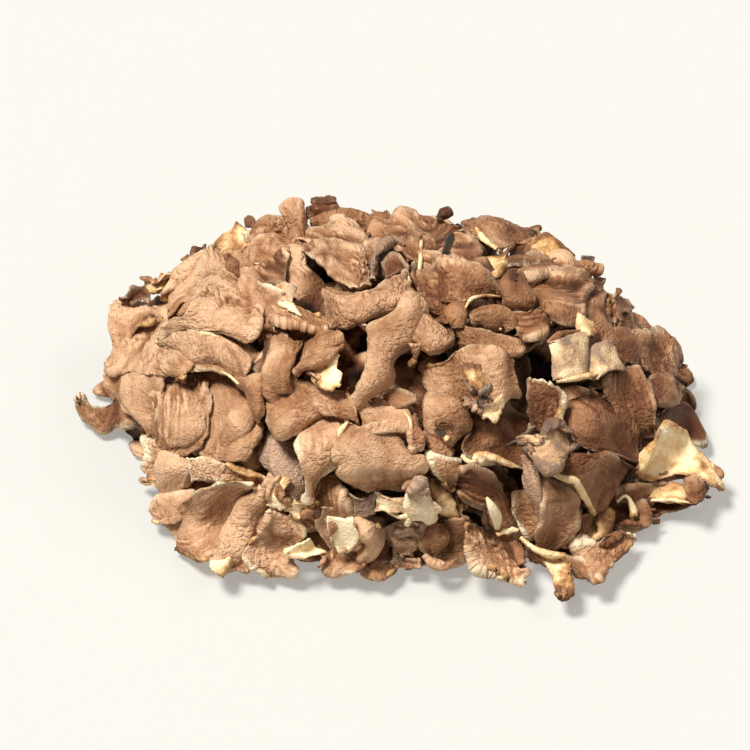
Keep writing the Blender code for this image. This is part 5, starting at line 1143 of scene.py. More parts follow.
LOWER_RIGHT_SHEETS = [
    Face("dark_face", ((19, 4, 41, 1.5, 1), (19, -2, 39, -4, 3), (17.5, -8, 35, -10, 4),
                       (23, -10, 34, -12.3, 3)),
         rolls=(1, 1, 0.5, 0.5), tone=0.24, rough=0.15, wave=0.9, pale=0.3),
    Fold("face_cream_edge", ((17, -8.7, 5), (19.5, -10, 6), (22, -9, 6), (26, -9.2, 6.5), (30, -11, 6.5),
                             (34, -12.3, 5.5)),
         (0.8, 2, 1.4, 1.3, 1.8, 0.8), bow=55, skirt=0.5, tone=0.6, wave=0.3, rough=0.8, side=PORED),
    Face("cream_crumple_c", ((31, -3.5, 34.5, -7.5, 5), (38, -2.5, 38, -11, 7.5),
                             (43.5, 1.8, 42.5, -12.3, 8.5), (48.5, -3.2, 45.5, -8.8, 7.5),
                             (50, -5, 49, -6, 5)),
         rolls=(0.5, 0.8, 0.4, 0.4), tone=0.1, rough=0.7, wave=1.3, ragged=1.5, lilac=0.35, side=PORED),
    Face("cream_triangle", ((43, 1, 44.5, -1, 7), (44.5, 4, 45.8, -1.5, 7.5), (45.2, 4.5, 46, 1, 6)),
         rolls=(0.4, 0.4, 0.3, 0.3), tone=0.55, rough=0.5, side=PORED),
    Face("dark_ribbed_cup", ((16.3, -13, 16, -19, 1), (20, -11.3, 19, -22, 3.5), (25, -13, 24, -22.7, 4),
                             (28.5, -17, 27.5, -20.5, 2)),
         rolls=(1, 1, 0.5, 1.2), tone=0.2, ribs=1.5, rough=0.3, wave=0.6),
    Face("brown_leaf", ((23, -20, 27.5, -15.5, 2), (25, -25, 31.5, -21, 3.5), (28, -29.5, 33.5, -26.5, 2)),
         rolls=(0.8, 0.8, 0.5, 0.5), tone=0.52, rough=0.3, ribs=0.6),
    Fold("white_finger", ((24, -20.3, 6), (25.5, -23, 8), (27, -26, 8), (27.3, -29.3, 6)),
         (0.8, 2.2, 2.8, 1.5), bow=60, skirt=0.5, tone=1.1, wave=0.2, rough=0.2, lilac=0.3, side=PORED),
    Face("low_fan", ((18.5, -26.5, 30, -31, 2), (18.3, -33, 33.5, -36, 4.5), (21, -39.8, 35.3, -40.5, 4.5),
                     (27, -42, 33, -43.7, 2)),
         rolls=(1, 1, 0.5, 0.8), tone=0.62, rough=1.0, ragged=0.9, pale=0.4),
    Face("side_fold", ((32, -19, 37, -18, 3), (32, -25, 39, -26, 5), (35, -31, 39.3, -29.5, 5),
                       (35.8, -32, 38, -31.3, 3)),
         rolls=(1, 1, 0.5, 0.5), tone=0.58, rough=0.3, pale=0.7),
    Fold("grey_ridge", ((34.3, -8.5, 5), (36, -14, 7.5), (38.5, -20, 8.5), (39.3, -26, 8), (38.5, -30, 6)),
         (3.5, 4.5, 3.8, 2.6, 2), bow=60, skirt=1.5, tone=0.6, lilac=0.45, rough=0.3, ribs=0.6),
    Face("domed_fan", ((37, -13, 43, -15, 3), (39.5, -19, 49, -20, 6.5), (39.5, -25, 49.3, -27, 8),
                       (38, -31, 47.3, -32, 7.5), (38.5, -35, 43.5, -35.7, 5)),
         rolls=(1, 2.5, 0.5, 2), tone=0.52, lilac=0.1, rough=0.3, ribs=0.5),
    Face("domed_fan_side", ((47, -20, 54, -24.5, 2), (48, -27, 55.5, -26, 3), (45, -34, 49, -35, 2)),
         rolls=(1, 1.2, 0.5, 0.5), tone=0.52, rough=0.3),
    Fold("cream_edge_low", ((33.5, -31.5, 7), (37, -34.3, 8.5), (41, -36, 8.5), (46, -36.7, 7)),
         (1, 1.4, 2, 1.6), bow=60, skirt=0.6, tone=0.6, wave=0.3, rough=0.4, side=PORED),
    Fold("cream_bit", ((27, -31, 6), (29.5, -30, 7.5), (33, -29.3, 6.5)),
         (0.8, 2.4, 1.2), bow=50, skirt=0.4, tone=1, rough=1.4, ragged=1.5, side=PORED),
    Fold("dark_tube", ((31, -32.5, 6), (32.3, -35.5, 7.5), (34, -38.7, 6.5)),
         (2.5, 3.2, 2.2), bow=85, skirt=1, tone=0.48),
    Face("under_leaf", ((34, -33, 36, -38, 1), (40, -36, 42, -40, 2), (46, -37, 48, -41, 1)),
         rolls=(0.8, 0.8, 0.5, 0.5), tone=0.3, rough=0.5),
    Face("cream_spike", ((39.3, -37.5, 47.8, -39, 4), (42, -42.5, 48, -43, 5), (45, -46.6, 47, -46.6, 4.5)),
         rolls=(0.5, 0.8, 0.4, 0.6), tone=0.3, rough=0.7, wave=1.0, ragged=1.0, side=PORED),
    Face("spike_brown", ((44.5, -36.3, 47, -40, 2), (49, -37.5, 50, -42.7, 3.5), (53, -40, 52.5, -42.7, 2)),
         rolls=(0.8, 0.8, 0.5, 0.5), tone=0.4, rough=0.6, pale=0.3),
    Face("ragged_low_right", ((48, -34, 49.5, -41, 3), (54, -32.8, 55, -42.5, 4.5),
                              (60, -30.2, 60.5, -38, 4.5), (65, -30.8, 64.5, -33.6, 3)),
         rolls=(0.6, 0.6, 0.5, 0.5), tone=0.54, rough=0.9, wave=0.9, ragged=1.2, pale=0.5),
    Face("low_lobe_right", ((49, -25.5, 48, -34.3, 3), (53, -24.5, 52, -32, 4.5), (57, -26, 56, -30, 3)),
         rolls=(0.8, 1.2, 0.5, 1), tone=0.52, rough=0.4),
    # A sheet deep in a gap, its low tone painted shade.
    Face("gap_low_right", ((35, -27, 36, -36, -1), (44, -28, 45, -39, -0.5), (52, -28, 53, -38.5, -0.5),
                           (60, -27, 60, -34, -1)),
         rolls=(0.5, 0.5, 0.5, 0.5), tone=0.1),
]

SHEET_GROUPS = {
    "sheets_left": LEFT_SHEETS,
    "sheets_lower_left": LOWER_LEFT_SHEETS,
    "sheets_centre": CENTRE_SHEETS,
    "sheets_bottom": BOTTOM_SHEETS,
    "sheets_top": TOP_SHEETS,
    "sheets_right": RIGHT_SHEETS,
    "sheets_lower_right": LOWER_RIGHT_SHEETS,
}

# Dark hollows that show between the fronds, as across, up and reach in mm.
HOLLOWS = [
    (-12, 20, 10), (3, 12, 9), (-23, 0, 5), (51, 8, 10), (-36, 9, 3),
    (6, -14, 4), (-11, -19, 5), (33, 12, 6), (-2, 45, 5),
]


@dataclass
class Strip:
    """The sheet of one fold, with sizes in mm.

    Attributes:
        frond: the fold.
        dome: the dome that it stands out of.
        seed: seed of its relief.
        spacing: distance between its points.
        droop: how far its skirt turns on past the fold, in degrees.
        margin_reach: width of the thin pale margin.
    """

    frond: Fold
    dome: Dome
    seed: int
    spacing: float = 0.5
    droop: float = 25.0
    margin_reach: float = 3.0

    skirt_tears = EdgePattern(4.0, 15.0, 37.5, 0.35, apart=2.0)

    def crest(self) -> tuple[np.ndarray, np.ndarray, np.ndarray]:
        """Crest line through the given places.

        Returns:
            Points, outward directions and widths along it.
        """
        crest = np.array(self.frond.crest, dtype=float)
        marks = self.dome.shown(crest[:, 0], crest[:, 1], crest[:, 2])
        widths = np.array(self.frond.widths, dtype=float)
        total = np.linalg.norm(np.diff(marks, axis=0), axis=1).sum()
        rows = max(9, round(1.1 * total / self.spacing))
        points = spline(marks, np.linspace(0.0, 1.0, rows))
        at = np.linspace(0.0, len(marks) - 1.000001, rows)
        k = at.astype(int)
        share = smooth(0, 1, at - k)
        wide = widths[k] * (1 - share) + widths[k + 1] * share
        normals = np.array([unit(0.25 * self.dome.normal(point) - 0.75 * SIGHT) for point in points])
        return points, normals, wide

    def sheet(self) -> Sheet:
        """Places the whole sheet.

        Returns:
            The sheet.
        """
        fold = self.frond
        relief = Relief(self.seed)
        spine, normals, wide = self.crest()
        rows = len(spine)
        reach = 0.5 * wide.max() * 1.4 + fold.skirt
        columns = max(9, 2 * round(reach / self.spacing) + 1)
        side = np.linspace(-1.0, 1.0, columns)[None, :] * np.ones((rows, 1))
        share = np.linspace(0.0, 1.0, rows)[:, None] * np.ones((1, columns))
        half = 0.5 * wide[:, None]
        along = summed(np.linalg.norm(np.diff(spine, axis=0), axis=1), 0)[:, None] * np.ones((1, columns))
        stretch = 1.0
        for _ in range(3):
            arc = half * stretch
            torn = 1.0 + fold.ragged * relief.beside(self.skirt_tears, along, side)
            across = side * (arc + fold.skirt * torn)
            past = np.abs(across) / arc
            bend = (1.0 - fold.sharp) * np.clip(past, 0.0, 1.0) + fold.sharp * smooth(0.0, 0.3, past)
            bend = math.radians(fold.bow) * bend + math.radians(self.droop) * smooth(1.0, 2.0, past)
            waves = 0.16 * fold.wave * np.sin(0.5 * across + 0.35 * along + 3.0 * share)
            x, drop = run_and_drop(np.sign(across) * bend + waves, across, 1, columns // 2)
            got = np.abs(x).max(axis=1).mean()
            stretch *= min(max(0.5 * wide.mean() / got, 0.6), 1.7)
        tangents = np.gradient(spine, axis=0)
        tangents /= np.linalg.norm(tangents, axis=1, keepdims=True)
        sideways = np.cross(tangents, normals)
        sideways /= np.linalg.norm(sideways, axis=1, keepdims=True)
        outward = np.cross(sideways, tangents)
        points = spine[:, None, :] + x[..., None] * sideways[:, None, :]
        points = points - drop[..., None] * outward[:, None, :]
        height = CRUMPLE.height(fold, relief, across, along)
        points = eased_ground(WARP.deepened(points + surface_normals(points) * height[..., None]))
        margin = np.minimum((1.0 - np.abs(side)) * reach, np.minimum(share, 1.0 - share) * along.max())
        margin = 1.0 - smooth(0.0, self.margin_reach, margin)
        return Sheet(points, np.stack([across, along], axis=-1), margin, height)


@dataclass
class Blade:
    """The curved, crumpled sheet of one frond, with sizes in mm.

    Attributes:
        frond: the form of the frond.
        place: where its middle lies.
        normal: outward direction of the dome there.
        axes: its sideways, growing and outward directions.
        length: its length.
        width: its width.
        seed: seed of its relief.
        chance: random draw that it shares with its ring.
        spacing: distance between its points.
        stalk_rows: rows of points along its stalk.
        stalk_length: length of the stalk for the pattern of the skin.
        root_depth_share: where the stalk starts, as a share of the way out from the middle of the head.
        stalk_width: width of the stalk at its start.
        lowest_root: least height of the start.
        roll_reach: width of the rolled margin.
        margin_reach: width of the thin pale margin.
        phase_draws: how many phases are drawn, of which the first six are in use.
    """

    frond: Frond
    place: np.ndarray
    normal: np.ndarray
    axes: np.ndarray
    length: float
    width: float
    seed: int
    chance: random.Random
    spacing: float = 0.9
    stalk_rows: int = 6
    stalk_length: float = 8.0
    root_depth_share: float = 0.6
    stalk_width: float = 5.0
    lowest_root: float = 9.0
    roll_reach: float = 3.6
    margin_reach: float = 3.0
    phase_draws: int = 8

    notches = (Pattern((4.0, 1.0), (7.0, 7.5)), Pattern((1.6, 1.0), (9.0, 17.5), 0.5))
    flank_tears = EdgePattern(4.0, 11.0, 27.5, 1.4)
    curls = Pattern((9.0, 9.0), (41.0, 13.0), 3.2)

    def counts(self) -> tuple[int, int]:
        """Rows along and columns across for the spacing."""
        columns = max(9, 2 * round(0.67 * self.width / self.spacing) + 1)
        return max(9, round(1.35 * self.length / self.spacing)), columns

    def flat(self, share: np.ndarray, side: np.ndarray, half_width: float, length: float,
             phases: list[float], relief: Relief) -> tuple[np.ndarray, np.ndarray]:
        """Outline of the flat blade.

        Args:
            share: share of the length of each point.
            side: side from -1 to 1 of each point.
            half_width: half of its width in mm.
            length: its length in mm.
            phases: phases of its lobes.
            relief: the frond's own relief.

        Returns:
            How far across and along each point lies in mm.
        """
        frond = self.frond
        widening = frond.root + (1.0 - frond.root) * np.sin(0.5 * math.pi * np.minimum(share / 0.62, 1.0))
        narrowing = 1.0 - 0.2 * smooth(0.6, 1.0, share)
        lobes = 0.08 * np.sin(1.4 * math.pi * side + phases[0])
        lobes = lobes + 0.035 * np.sin(3.1 * math.pi * side + phases[1])
        across = side * half_width * widening * narrowing * (1.0 + 0.6 * lobes * share**2)
        corner = 1.0 - 0.3 * np.abs(side) ** 2.2 * share**1.2
        along = length * share * corner * (1.0 + lobes * share**2)
        notch = sum(relief.over(pattern, side * half_width, 0.0 * side) for pattern in self.notches)
        along = along + 1.6 * frond.ragged * notch * share**3
        flank = relief.beside(self.flank_tears, share * length, side)
        across = across + frond.ragged * flank * np.abs(side) ** 3 * np.sign(side)
        return across, along

    def bent(self, share: np.ndarray, side: np.ndarray, half_width: float, length: float,
             phases: list[float], relief: Relief) -> tuple[np.ndarray, np.ndarray, np.ndarray]:
        """Bends the flat blade across and along.

        Args:
            share: share of the length of each point.
            side: side from -1 to 1 of each point.
            half_width: half of its flat width in mm.
            length: its flat length in mm.
            phases: phases of its lobes and pleats.
            relief: the frond's own relief.

        Returns:
            Points in the blade's own axes, and how far across and along each one lies in mm.
        """
        frond = self.frond
        across, along = self.flat(share, side, half_width, length, phases, relief)
        from_flank = (1.0 - np.abs(side)) * half_width
        from_tip = (1.0 - share) * length
        turn = np.clip(1.0 + relief.over(self.curls, across, along), -1.2, 2.6)
        curl = math.radians(frond.curl) * turn
        pleats = np.sin(2.2 * math.pi * side + phases[2])
        pleats = pleats + 0.7 * np.sin(0.55 * across + 0.3 * along + phases[3])
        edge = math.radians(frond.edge) * smooth(0.5, 1.0, np.abs(side))
        edge = edge + curl * (1.0 - smooth(0.0, self.roll_reach, from_flank)) * smooth(0.05, 0.4, share)
        angle = math.radians(frond.cup) * across / half_width + 0.22 * frond.wave * pleats * share
        x, drop = run_and_drop(angle + np.sign(side) * edge, across, 1, across.shape[1] // 2)
        rise = -drop
        waves = np.sin(0.5 * along - 0.3 * across + phases[4])
        waves = waves + np.sin(0.3 * along + 0.5 * across + phases[5])
        angle = math.radians(frond.arch) * along / length + 0.14 * frond.wave * waves
        angle = angle + 0.5 * math.radians(frond.edge) * smooth(0.6, 1.0, share)
        angle = angle + curl * (1.0 - smooth(0.0, self.roll_reach, from_tip))
        run, drop = run_and_drop(angle, along, 0, 0)
        points = np.stack([x, run + rise * np.sin(angle), -drop + rise * np.cos(angle)], axis=-1)
        return points, across, along

    def local(self, share: np.ndarray, side: np.ndarray) -> tuple[np.ndarray, ...]:
        """Shapes the blade in its own axes to its length and width.

        Args:
            share: share of the length of each point.
            side: side from -1 to 1 of each point.

        Returns:
            Points, how far across and along the flat blade each one lies in mm, and its relief in mm.
        """
        relief = Relief(self.seed)
        phases = [self.chance.uniform(0.0, 2.0 * math.pi) for _ in range(self.phase_draws)]
        half_width, length = 0.5 * self.width, self.length
        for _ in range(2):
            points, across, along = self.bent(share, side, half_width, length, phases, relief)
            wide = np.ptp(points[..., 0])
            long = np.ptp(points[:, points.shape[1] // 2, 1])
            half_width *= min(max(self.width / wide, 0.7), 1.5)
            length *= min(max(self.length / long, 0.7), 1.5)
        points, across, along = self.bent(share, side, half_width, length, phases, relief)
        middle = points[round(0.5 * points.shape[0]), points.shape[1] // 2].copy()
        height = CRUMPLE.height(self.frond, relief, across, along)
        near = smooth(0.0, 0.25, share)
        points = points + surface_normals(points) * (height * near)[..., None]
        return points - middle, across, along, height

    def stalk(self, first: np.ndarray, sides: np.ndarray) -> np.ndarray:
        """Rows of points along the stalk, up to the blade.

        Args:
            first: the first row of the blade.
            sides: side from -1 to 1 of each point of a row.

        Returns:
            The rows.
        """
        neck = first.mean(axis=0)
        root = neck * self.root_depth_share
        root[2] = max(root[2], self.lowest_root)
        strip = root + sides[:, None] * self.axes[0][None, :] * self.stalk_width * 0.5
        control = first - self.axes[1] * 0.5 * np.linalg.norm(neck - root)
        shares = [k / self.stalk_rows for k in range(self.stalk_rows)]
        return np.array([(1 - q) ** 2 * strip + 2 * q * (1 - q) * control + q * q * first for q in shares])

    def sheet(self) -> Sheet:
        """Places the whole sheet, stalk and blade.

        Returns:
            The sheet.
        """
        rows, columns = self.counts()
        sides = np.linspace(-1.0, 1.0, columns)
        share, side = np.meshgrid(np.linspace(0.0, 1.0, rows), sides, indexing="ij")
        local, across, along, height = self.local(share, side)
        blade = self.place + self.frond.lift * self.normal + local @ self.axes
        points = eased_ground(WARP.moved(np.concatenate([self.stalk(blade[0], sides), blade])))
        nothing = np.zeros((self.stalk_rows, columns))
        behind = np.linspace(-self.stalk_length, 0.0, self.stalk_rows, endpoint=False)[:, None]
        flat = np.stack([
            np.concatenate([np.repeat(across[:1], self.stalk_rows, axis=0), across]),
            np.concatenate([behind + nothing, along]),
        ], axis=-1)
        margin = np.minimum((1.0 - np.abs(side)) * 0.5 * self.width, (1.0 - share) * self.length)
        margin = 1.0 - smooth(0.0, self.margin_reach, margin)
        return Sheet(points, flat, np.concatenate([nothing, margin]), np.concatenate([nothing, height]))


@dataclass(frozen=True)
class FarRing:
    """A ring of fronds round the far side: height, first and last turn in degrees, and how many."""

    height: float
    first: float
    last: float
    number: int


FAR_RINGS = [
    FarRing(6.0, 15.0, 168.0, 12),
    FarRing(26.0, 26.0, 160.0, 10),
    FarRing(46.0, 48.0, 132.0, 5),
]


@dataclass(frozen=True)
class FrondMaker:
    """Makes the blades of the far side and of the inside of the head by seeded rules."""

    dome: Dome
    golden_turn: float = 137.508

    def growing(self, place: np.ndarray, normal: np.ndarray, fall: float) -> np.ndarray:
        """Direction along the dome, away from its middle and down by the fall in mm."""
        away = place * np.array([1.0, 1.0, 0.0]) - np.array([0.0, 0.0, fall])
        return unit(away - normal * (away @ normal))

    def axes(self, frond: Frond, normal: np.ndarray, grow: np.ndarray) -> np.ndarray:
        """Directions of a blade after its tilt and roll.

        Args:
            frond: the form of the frond.
            normal: outward direction of the dome.
            grow: growing direction along the dome.

        Returns:
            Its sideways, growing and outward directions.
        """
        sideways = unit(np.cross(grow, normal))
        outward = unit(np.cross(sideways, grow))
        grow = turned(grow, sideways, frond.tilt)
        outward = turned(outward, sideways, frond.tilt)
        sideways = turned(sideways, grow, frond.roll)
        outward = turned(outward, grow, frond.roll)
        return np.stack([sideways, grow, outward])

    def far_ring(self, number: int, ring: FarRing, chance: random.Random) -> list[Blade]:
        """Blades of one ring of the far side.

        Args:
            number: number of the ring.
            ring: its height, turns and count.
            chance: the random draw that all rings share.

        Returns:
            The blades.
        """
        blades = []
        for k in range(ring.number):
            turn = ring.first + (ring.last - ring.first) * k / (ring.number - 1) + chance.uniform(-3.0, 3.0)
            rise = math.radians(ring.height + chance.uniform(-4.0, 4.0))
            angle = math.radians(turn)
            place = self.dome.sizes * np.array([
                math.cos(rise) * math.cos(angle), math.cos(rise) * math.sin(angle), math.sin(rise),
            ])
            normal = self.dome.normal(place)
            grow = turned(self.growing(place, normal, 30.0), normal, chance.uniform(-28.0, 28.0))
            flank = max(0.0, math.cos(angle)) ** 2 * (0.5 if number == 0 else 1.0)
            # Darker toward the right of the head: partly the head's own colour and partly painted shade on
            # the side away from the key lamp.
            frond = Frond(
                f"far_{number}_{k}",
                cup=chance.uniform(30.0, 50.0), edge=chance.uniform(5.0, 20.0),
                arch=chance.uniform(15.0, 25.0), tilt=chance.uniform(20.0, 30.0) * (1.0 - 0.5 * flank),
                roll=chance.uniform(-12.0, 12.0), wave=chance.uniform(1.0, 2.0),
                lift=chance.uniform(-1.0, 3.0) - 5.0 * flank,
                tone=0.55 - 0.25 * math.cos(angle) + chance.uniform(-0.12, 0.12),
            )
            length = chance.uniform(20.0, 26.0)
            width = chance.uniform(14.0, 19.0)
            seed = SEED * 31 + 100 * number + k
            blades.append(Blade(frond, place, normal, self.axes(frond, normal, grow), length, width, seed,
                                chance, spacing=0.8))
        return blades

    def inner(self, number: int = 90) -> list[Blade]:
        """Blades deeper in the head, all around, that show in its gaps, darker with painted shade.

        Args:
            number: how many blades.

        Returns:
            The blades.
        """
        chance = random.Random(SEED + 5)
        blades = []
        for k in range(number):
            rise = math.asin(0.06 + 0.92 * (k + 0.5) / number)
            turn = k * math.radians(self.golden_turn)
            way = np.array([math.cos(rise) * math.cos(turn), math.cos(rise) * math.sin(turn), math.sin(rise)])
            place = chance.uniform(0.84, 0.9) * self.dome.sizes * way
            normal = self.dome.normal(place)
            grow = turned(self.growing(place, normal, 20.0), normal, chance.uniform(-60.0, 60.0))
            # Their low tones are painted shade deep in the head.
            frond = Frond(
                f"inner_{k}",
                cup=chance.uniform(40.0, 90.0), arch=chance.uniform(25.0, 45.0),
                tilt=chance.uniform(12.0, 35.0), roll=chance.uniform(-30.0, 30.0),
                wave=chance.uniform(1.4, 2.4), tone=chance.uniform(-0.2, 0.15),
            )
            length = chance.uniform(20.0, 27.0)
            width = chance.uniform(13.0, 19.0)
            blades.append(Blade(frond, place, normal, self.axes(frond, normal, grow), length, width,
                                SEED * 53 + k, chance, spacing=1.6))
        return blades


@dataclass(frozen=True)
class FrondPiece:
    """One piece of the head: the sheets of several fronds with their thickness in mm.

    Attributes:
        name: its name.
        blades: its sheets.
        thickness: thickness of a frond.
        margin_share: thickness of the margins as a share of it.
        thickness_steps: steps of thickness from the margin to the middle.
        apart: how far apart the sheets lie in the pattern of the skin.
        relief_gain: how much the relief darkens the dents, as painted shade.
        crest_gain: how much the crests are lighter than their neighbourhood, as painted highlights.
    """

    name: str
    blades: list[Panel | Strip | Blade]
    thickness: float = 1.05
    margin_share: float = 0.5
    thickness_steps: int = 12
    apart: tuple[float, float] = (57.0, 91.0)
    relief_gain: float = 0.1
    crest_gain: float = 1.4

    def build(self, skin: bpy.types.Material, pores: bpy.types.Material) -> bpy.types.Object:
        """Models the sheets and dresses them.

        Args:
            skin: material of the upper side.
            pores: material of the underside.

        Returns:
            The finished piece.
        """
        mesh = bmesh.new()
        flats, looks, tints, weights = [], [], [], []
        for number, blade in enumerate(self.blades):
            sheet, frond = blade.sheet(), blade.frond
            rows, columns = sheet.points.shape[:2]
            made = bmesh.ops.create_grid(mesh, x_segments=columns - 1, y_segments=rows - 1, size=0.5)["verts"]
            for vert, point in zip(made, sheet.points.reshape(-1, 3) * MM):
                vert.co = point
            for face in {face for vert in made for face in vert.link_faces}:
                face.smooth = True
                face.material_index = frond.side.value
            count = rows * columns
            flat = (sheet.flat + number * np.array(self.apart)).reshape(-1, 2)
            flats.append(np.concatenate([flat, np.zeros((count, 1))], axis=1))
            # The third part of the look is painted shade in the dents and painted highlights on the crests.
            relief = self.relief_gain * sheet.height + self.crest_gain * crests(sheet.height) - 0.1
            margin = sheet.margin.reshape(-1)
            looks.append(np.stack([np.full(count, frond.tone), margin, relief.reshape(-1)], axis=1))
            tints.append(np.tile([frond.lilac, frond.pale, float(frond.side is Side.SKIN)], (count, 1)))
            weights.append(1.0 - margin**2)
        data = bpy.data.meshes.new(self.name)
        mesh.to_mesh(data)
        mesh.free()
        for name, values in {"flat": flats, "look": looks, "tint": tints}.items():
            layer = data.attributes.new(name, "FLOAT_VECTOR", "POINT")
            layer.data.foreach_set("vector", np.concatenate(values).astype(np.float32).ravel())
        piece = bpy.data.objects.new(self.name, data)
        bpy.context.scene.collection.objects.link(piece)
        for material in (skin, pores, skin):
            data.materials.append(material)
        self.thicken(piece, np.concatenate(weights))
        return piece

    def thicken(self, piece: bpy.types.Object, weights: np.ndarray) -> None:
        """Gives the sheets their thickness.

        Args:
            piece: the piece.
            weights: 0 at the margin to 1 inside, for each point.
        """
        group = piece.vertex_groups.new(name="flesh")
        levels = np.round(weights * self.thickness_steps).astype(int)
        for level in range(self.thickness_steps + 1):
            points = [int(v) for v in np.nonzero(levels == level)[0]]
            group.add(points, level / self.thickness_steps, "REPLACE")
        wall = piece.modifiers.new("wall", "SOLIDIFY")
        wall.thickness = self.thickness * MM
        wall.offset = -1.0
        wall.vertex_group = "flesh"
        wall.thickness_vertex_group = self.margin_share
        wall.material_offset = 1


def linear(hex_color: str) -> tuple[float, float, float, float]:
    """Converts a colour to linear light.

    Args:
        hex_color: sRGB hex value.

    Returns:
        Linear red, green and blue, then full opacity.
    """
    parts = [int(hex_color[i:i + 2], 16) / 255.0 for i in (1, 3, 5)]
    parts = [p / 12.92 if p <= 0.04045 else ((p + 0.055) / 1.055) ** 2.4 for p in parts]
    return (parts[0], parts[1], parts[2], 1.0)


def new_material(name: str, inputs: dict[str, object]) -> tuple[bpy.types.Material, bpy.types.Node]:
    """Adds a material.

    Args:
        name: its name.
        inputs: name of each shader input that is set, to its value.

    Returns:
        The material and its shader.
    """
    material = bpy.data.materials.new(name)
    material.use_nodes = True
    shader = material.node_tree.nodes["Principled BSDF"]
    for key, value in inputs.items():
        shader.inputs[key].default_value = value
    return material, shader


def add_node(tree: bpy.types.NodeTree, kind: str, inputs: dict | None = None, **settings) -> bpy.types.Node:
    """Adds a node with its settings and links.

    Args:
        tree: the node tree.
        kind: the node's type name.
        inputs: input name or number to a value or to a socket that is linked in.
        settings: the node's own properties.

    Returns:
        The node.
    """
    node = tree.nodes.new(kind)
    for key, value in settings.items():
        setattr(node, key, value)
    for key, value in (inputs or {}).items():
        if isinstance(value, bpy.types.NodeSocket):
            tree.links.new(value, node.inputs[key])
        else:
            node.inputs[key].default_value = value
    return node


def mixed(tree: bpy.types.NodeTree, share: bpy.types.NodeSocket, first: bpy.types.NodeSocket,
          second: str) -> bpy.types.NodeSocket:
    """Mixes a colour into another by a share.

    Args:
        tree: the node tree.
        share: share of the second colour.
        first: the first colour.
        second: the second colour as sRGB hex.

    Returns:
        The mixed colour.
    """
    inputs = {0: share, 6: first, 7: linear(second)}
    return add_node(tree, "ShaderNodeMix", inputs, data_type="RGBA").outputs[2]


def math_node(tree: bpy.types.NodeTree, operation: str, *values: object) -> bpy.types.NodeSocket:
    """Result of a maths node on values or sockets."""
    return add_node(tree, "ShaderNodeMath", dict(enumerate(values)), operation=operation).outputs[0]


def noise(tree: bpy.types.NodeTree, place: bpy.types.NodeSocket, scale: float, detail: float,
          **inputs: float) -> bpy.types.Node:
    """Noise over a place, by scale and detail, with other inputs by name."""
    return add_node(tree, "ShaderNodeTexNoise", {"Vector": place, "Scale": scale, "Detail": detail, **inputs})


def ranged(tree: bpy.types.NodeTree, value: bpy.types.NodeSocket, old: tuple[float, float],
           new: tuple[float, float], **settings: str) -> bpy.types.NodeSocket:
    """The value moved from an old range to a new one."""
    inputs = {0: value, 1: old[0], 2: old[1], 3: new[0], 4: new[1]}
    return add_node(tree, "ShaderNodeMapRange", inputs, **settings).outputs[0]


def cell_edges(tree: bpy.types.NodeTree, place: bpy.types.NodeSocket, scale: float,
               reach: float) -> bpy.types.NodeSocket:
    """Net between random cells.

    Args:
        tree: the node tree.
        place: the place.
        scale: cells on one unit of the place.
        reach: distance from an edge, in cells, where the net ends.

    Returns:
        0 at the edges to 1 past the reach.
    """
    inputs = {"Vector": place, "Scale": scale, "Randomness": 1.0}
    cells = add_node(tree, "ShaderNodeTexVoronoi", inputs, feature="DISTANCE_TO_EDGE").outputs["Distance"]
    return ranged(tree, cells, (0.0, reach), (0.0, 1.0), interpolation_type="SMOOTHSTEP")


def attribute(tree: bpy.types.NodeTree, name: str) -> bpy.types.NodeSocket:
    """A named attribute of the mesh."""
    return add_node(tree, "ShaderNodeAttribute", attribute_name=name).outputs["Vector"]


def split(tree: bpy.types.NodeTree, name: str) -> bpy.types.bpy_prop_collection:
    """The three parts of a named attribute of the mesh."""
    return add_node(tree, "ShaderNodeSeparateXYZ", {0: attribute(tree, name)}).outputs


def ramped(tree: bpy.types.NodeTree, value: bpy.types.NodeSocket,
           stops: tuple[tuple[float, str], ...]) -> bpy.types.NodeSocket:
    """Colours a value by a ramp.

    Args:
        tree: the node tree.
        value: the value.
        stops: place and sRGB hex colour of each stop, in order.

    Returns:
        The colour.
    """
    node = add_node(tree, "ShaderNodeValToRGB", {0: value})
    elements = node.color_ramp.elements
    for element, (place, color) in zip((elements[0], elements[1]), (stops[0], stops[-1])):
        element.position = place
        element.color = linear(color)
    for place, color in stops[1:-1]:
        elements.new(place).color = linear(color)
    return node.outputs["Color"]


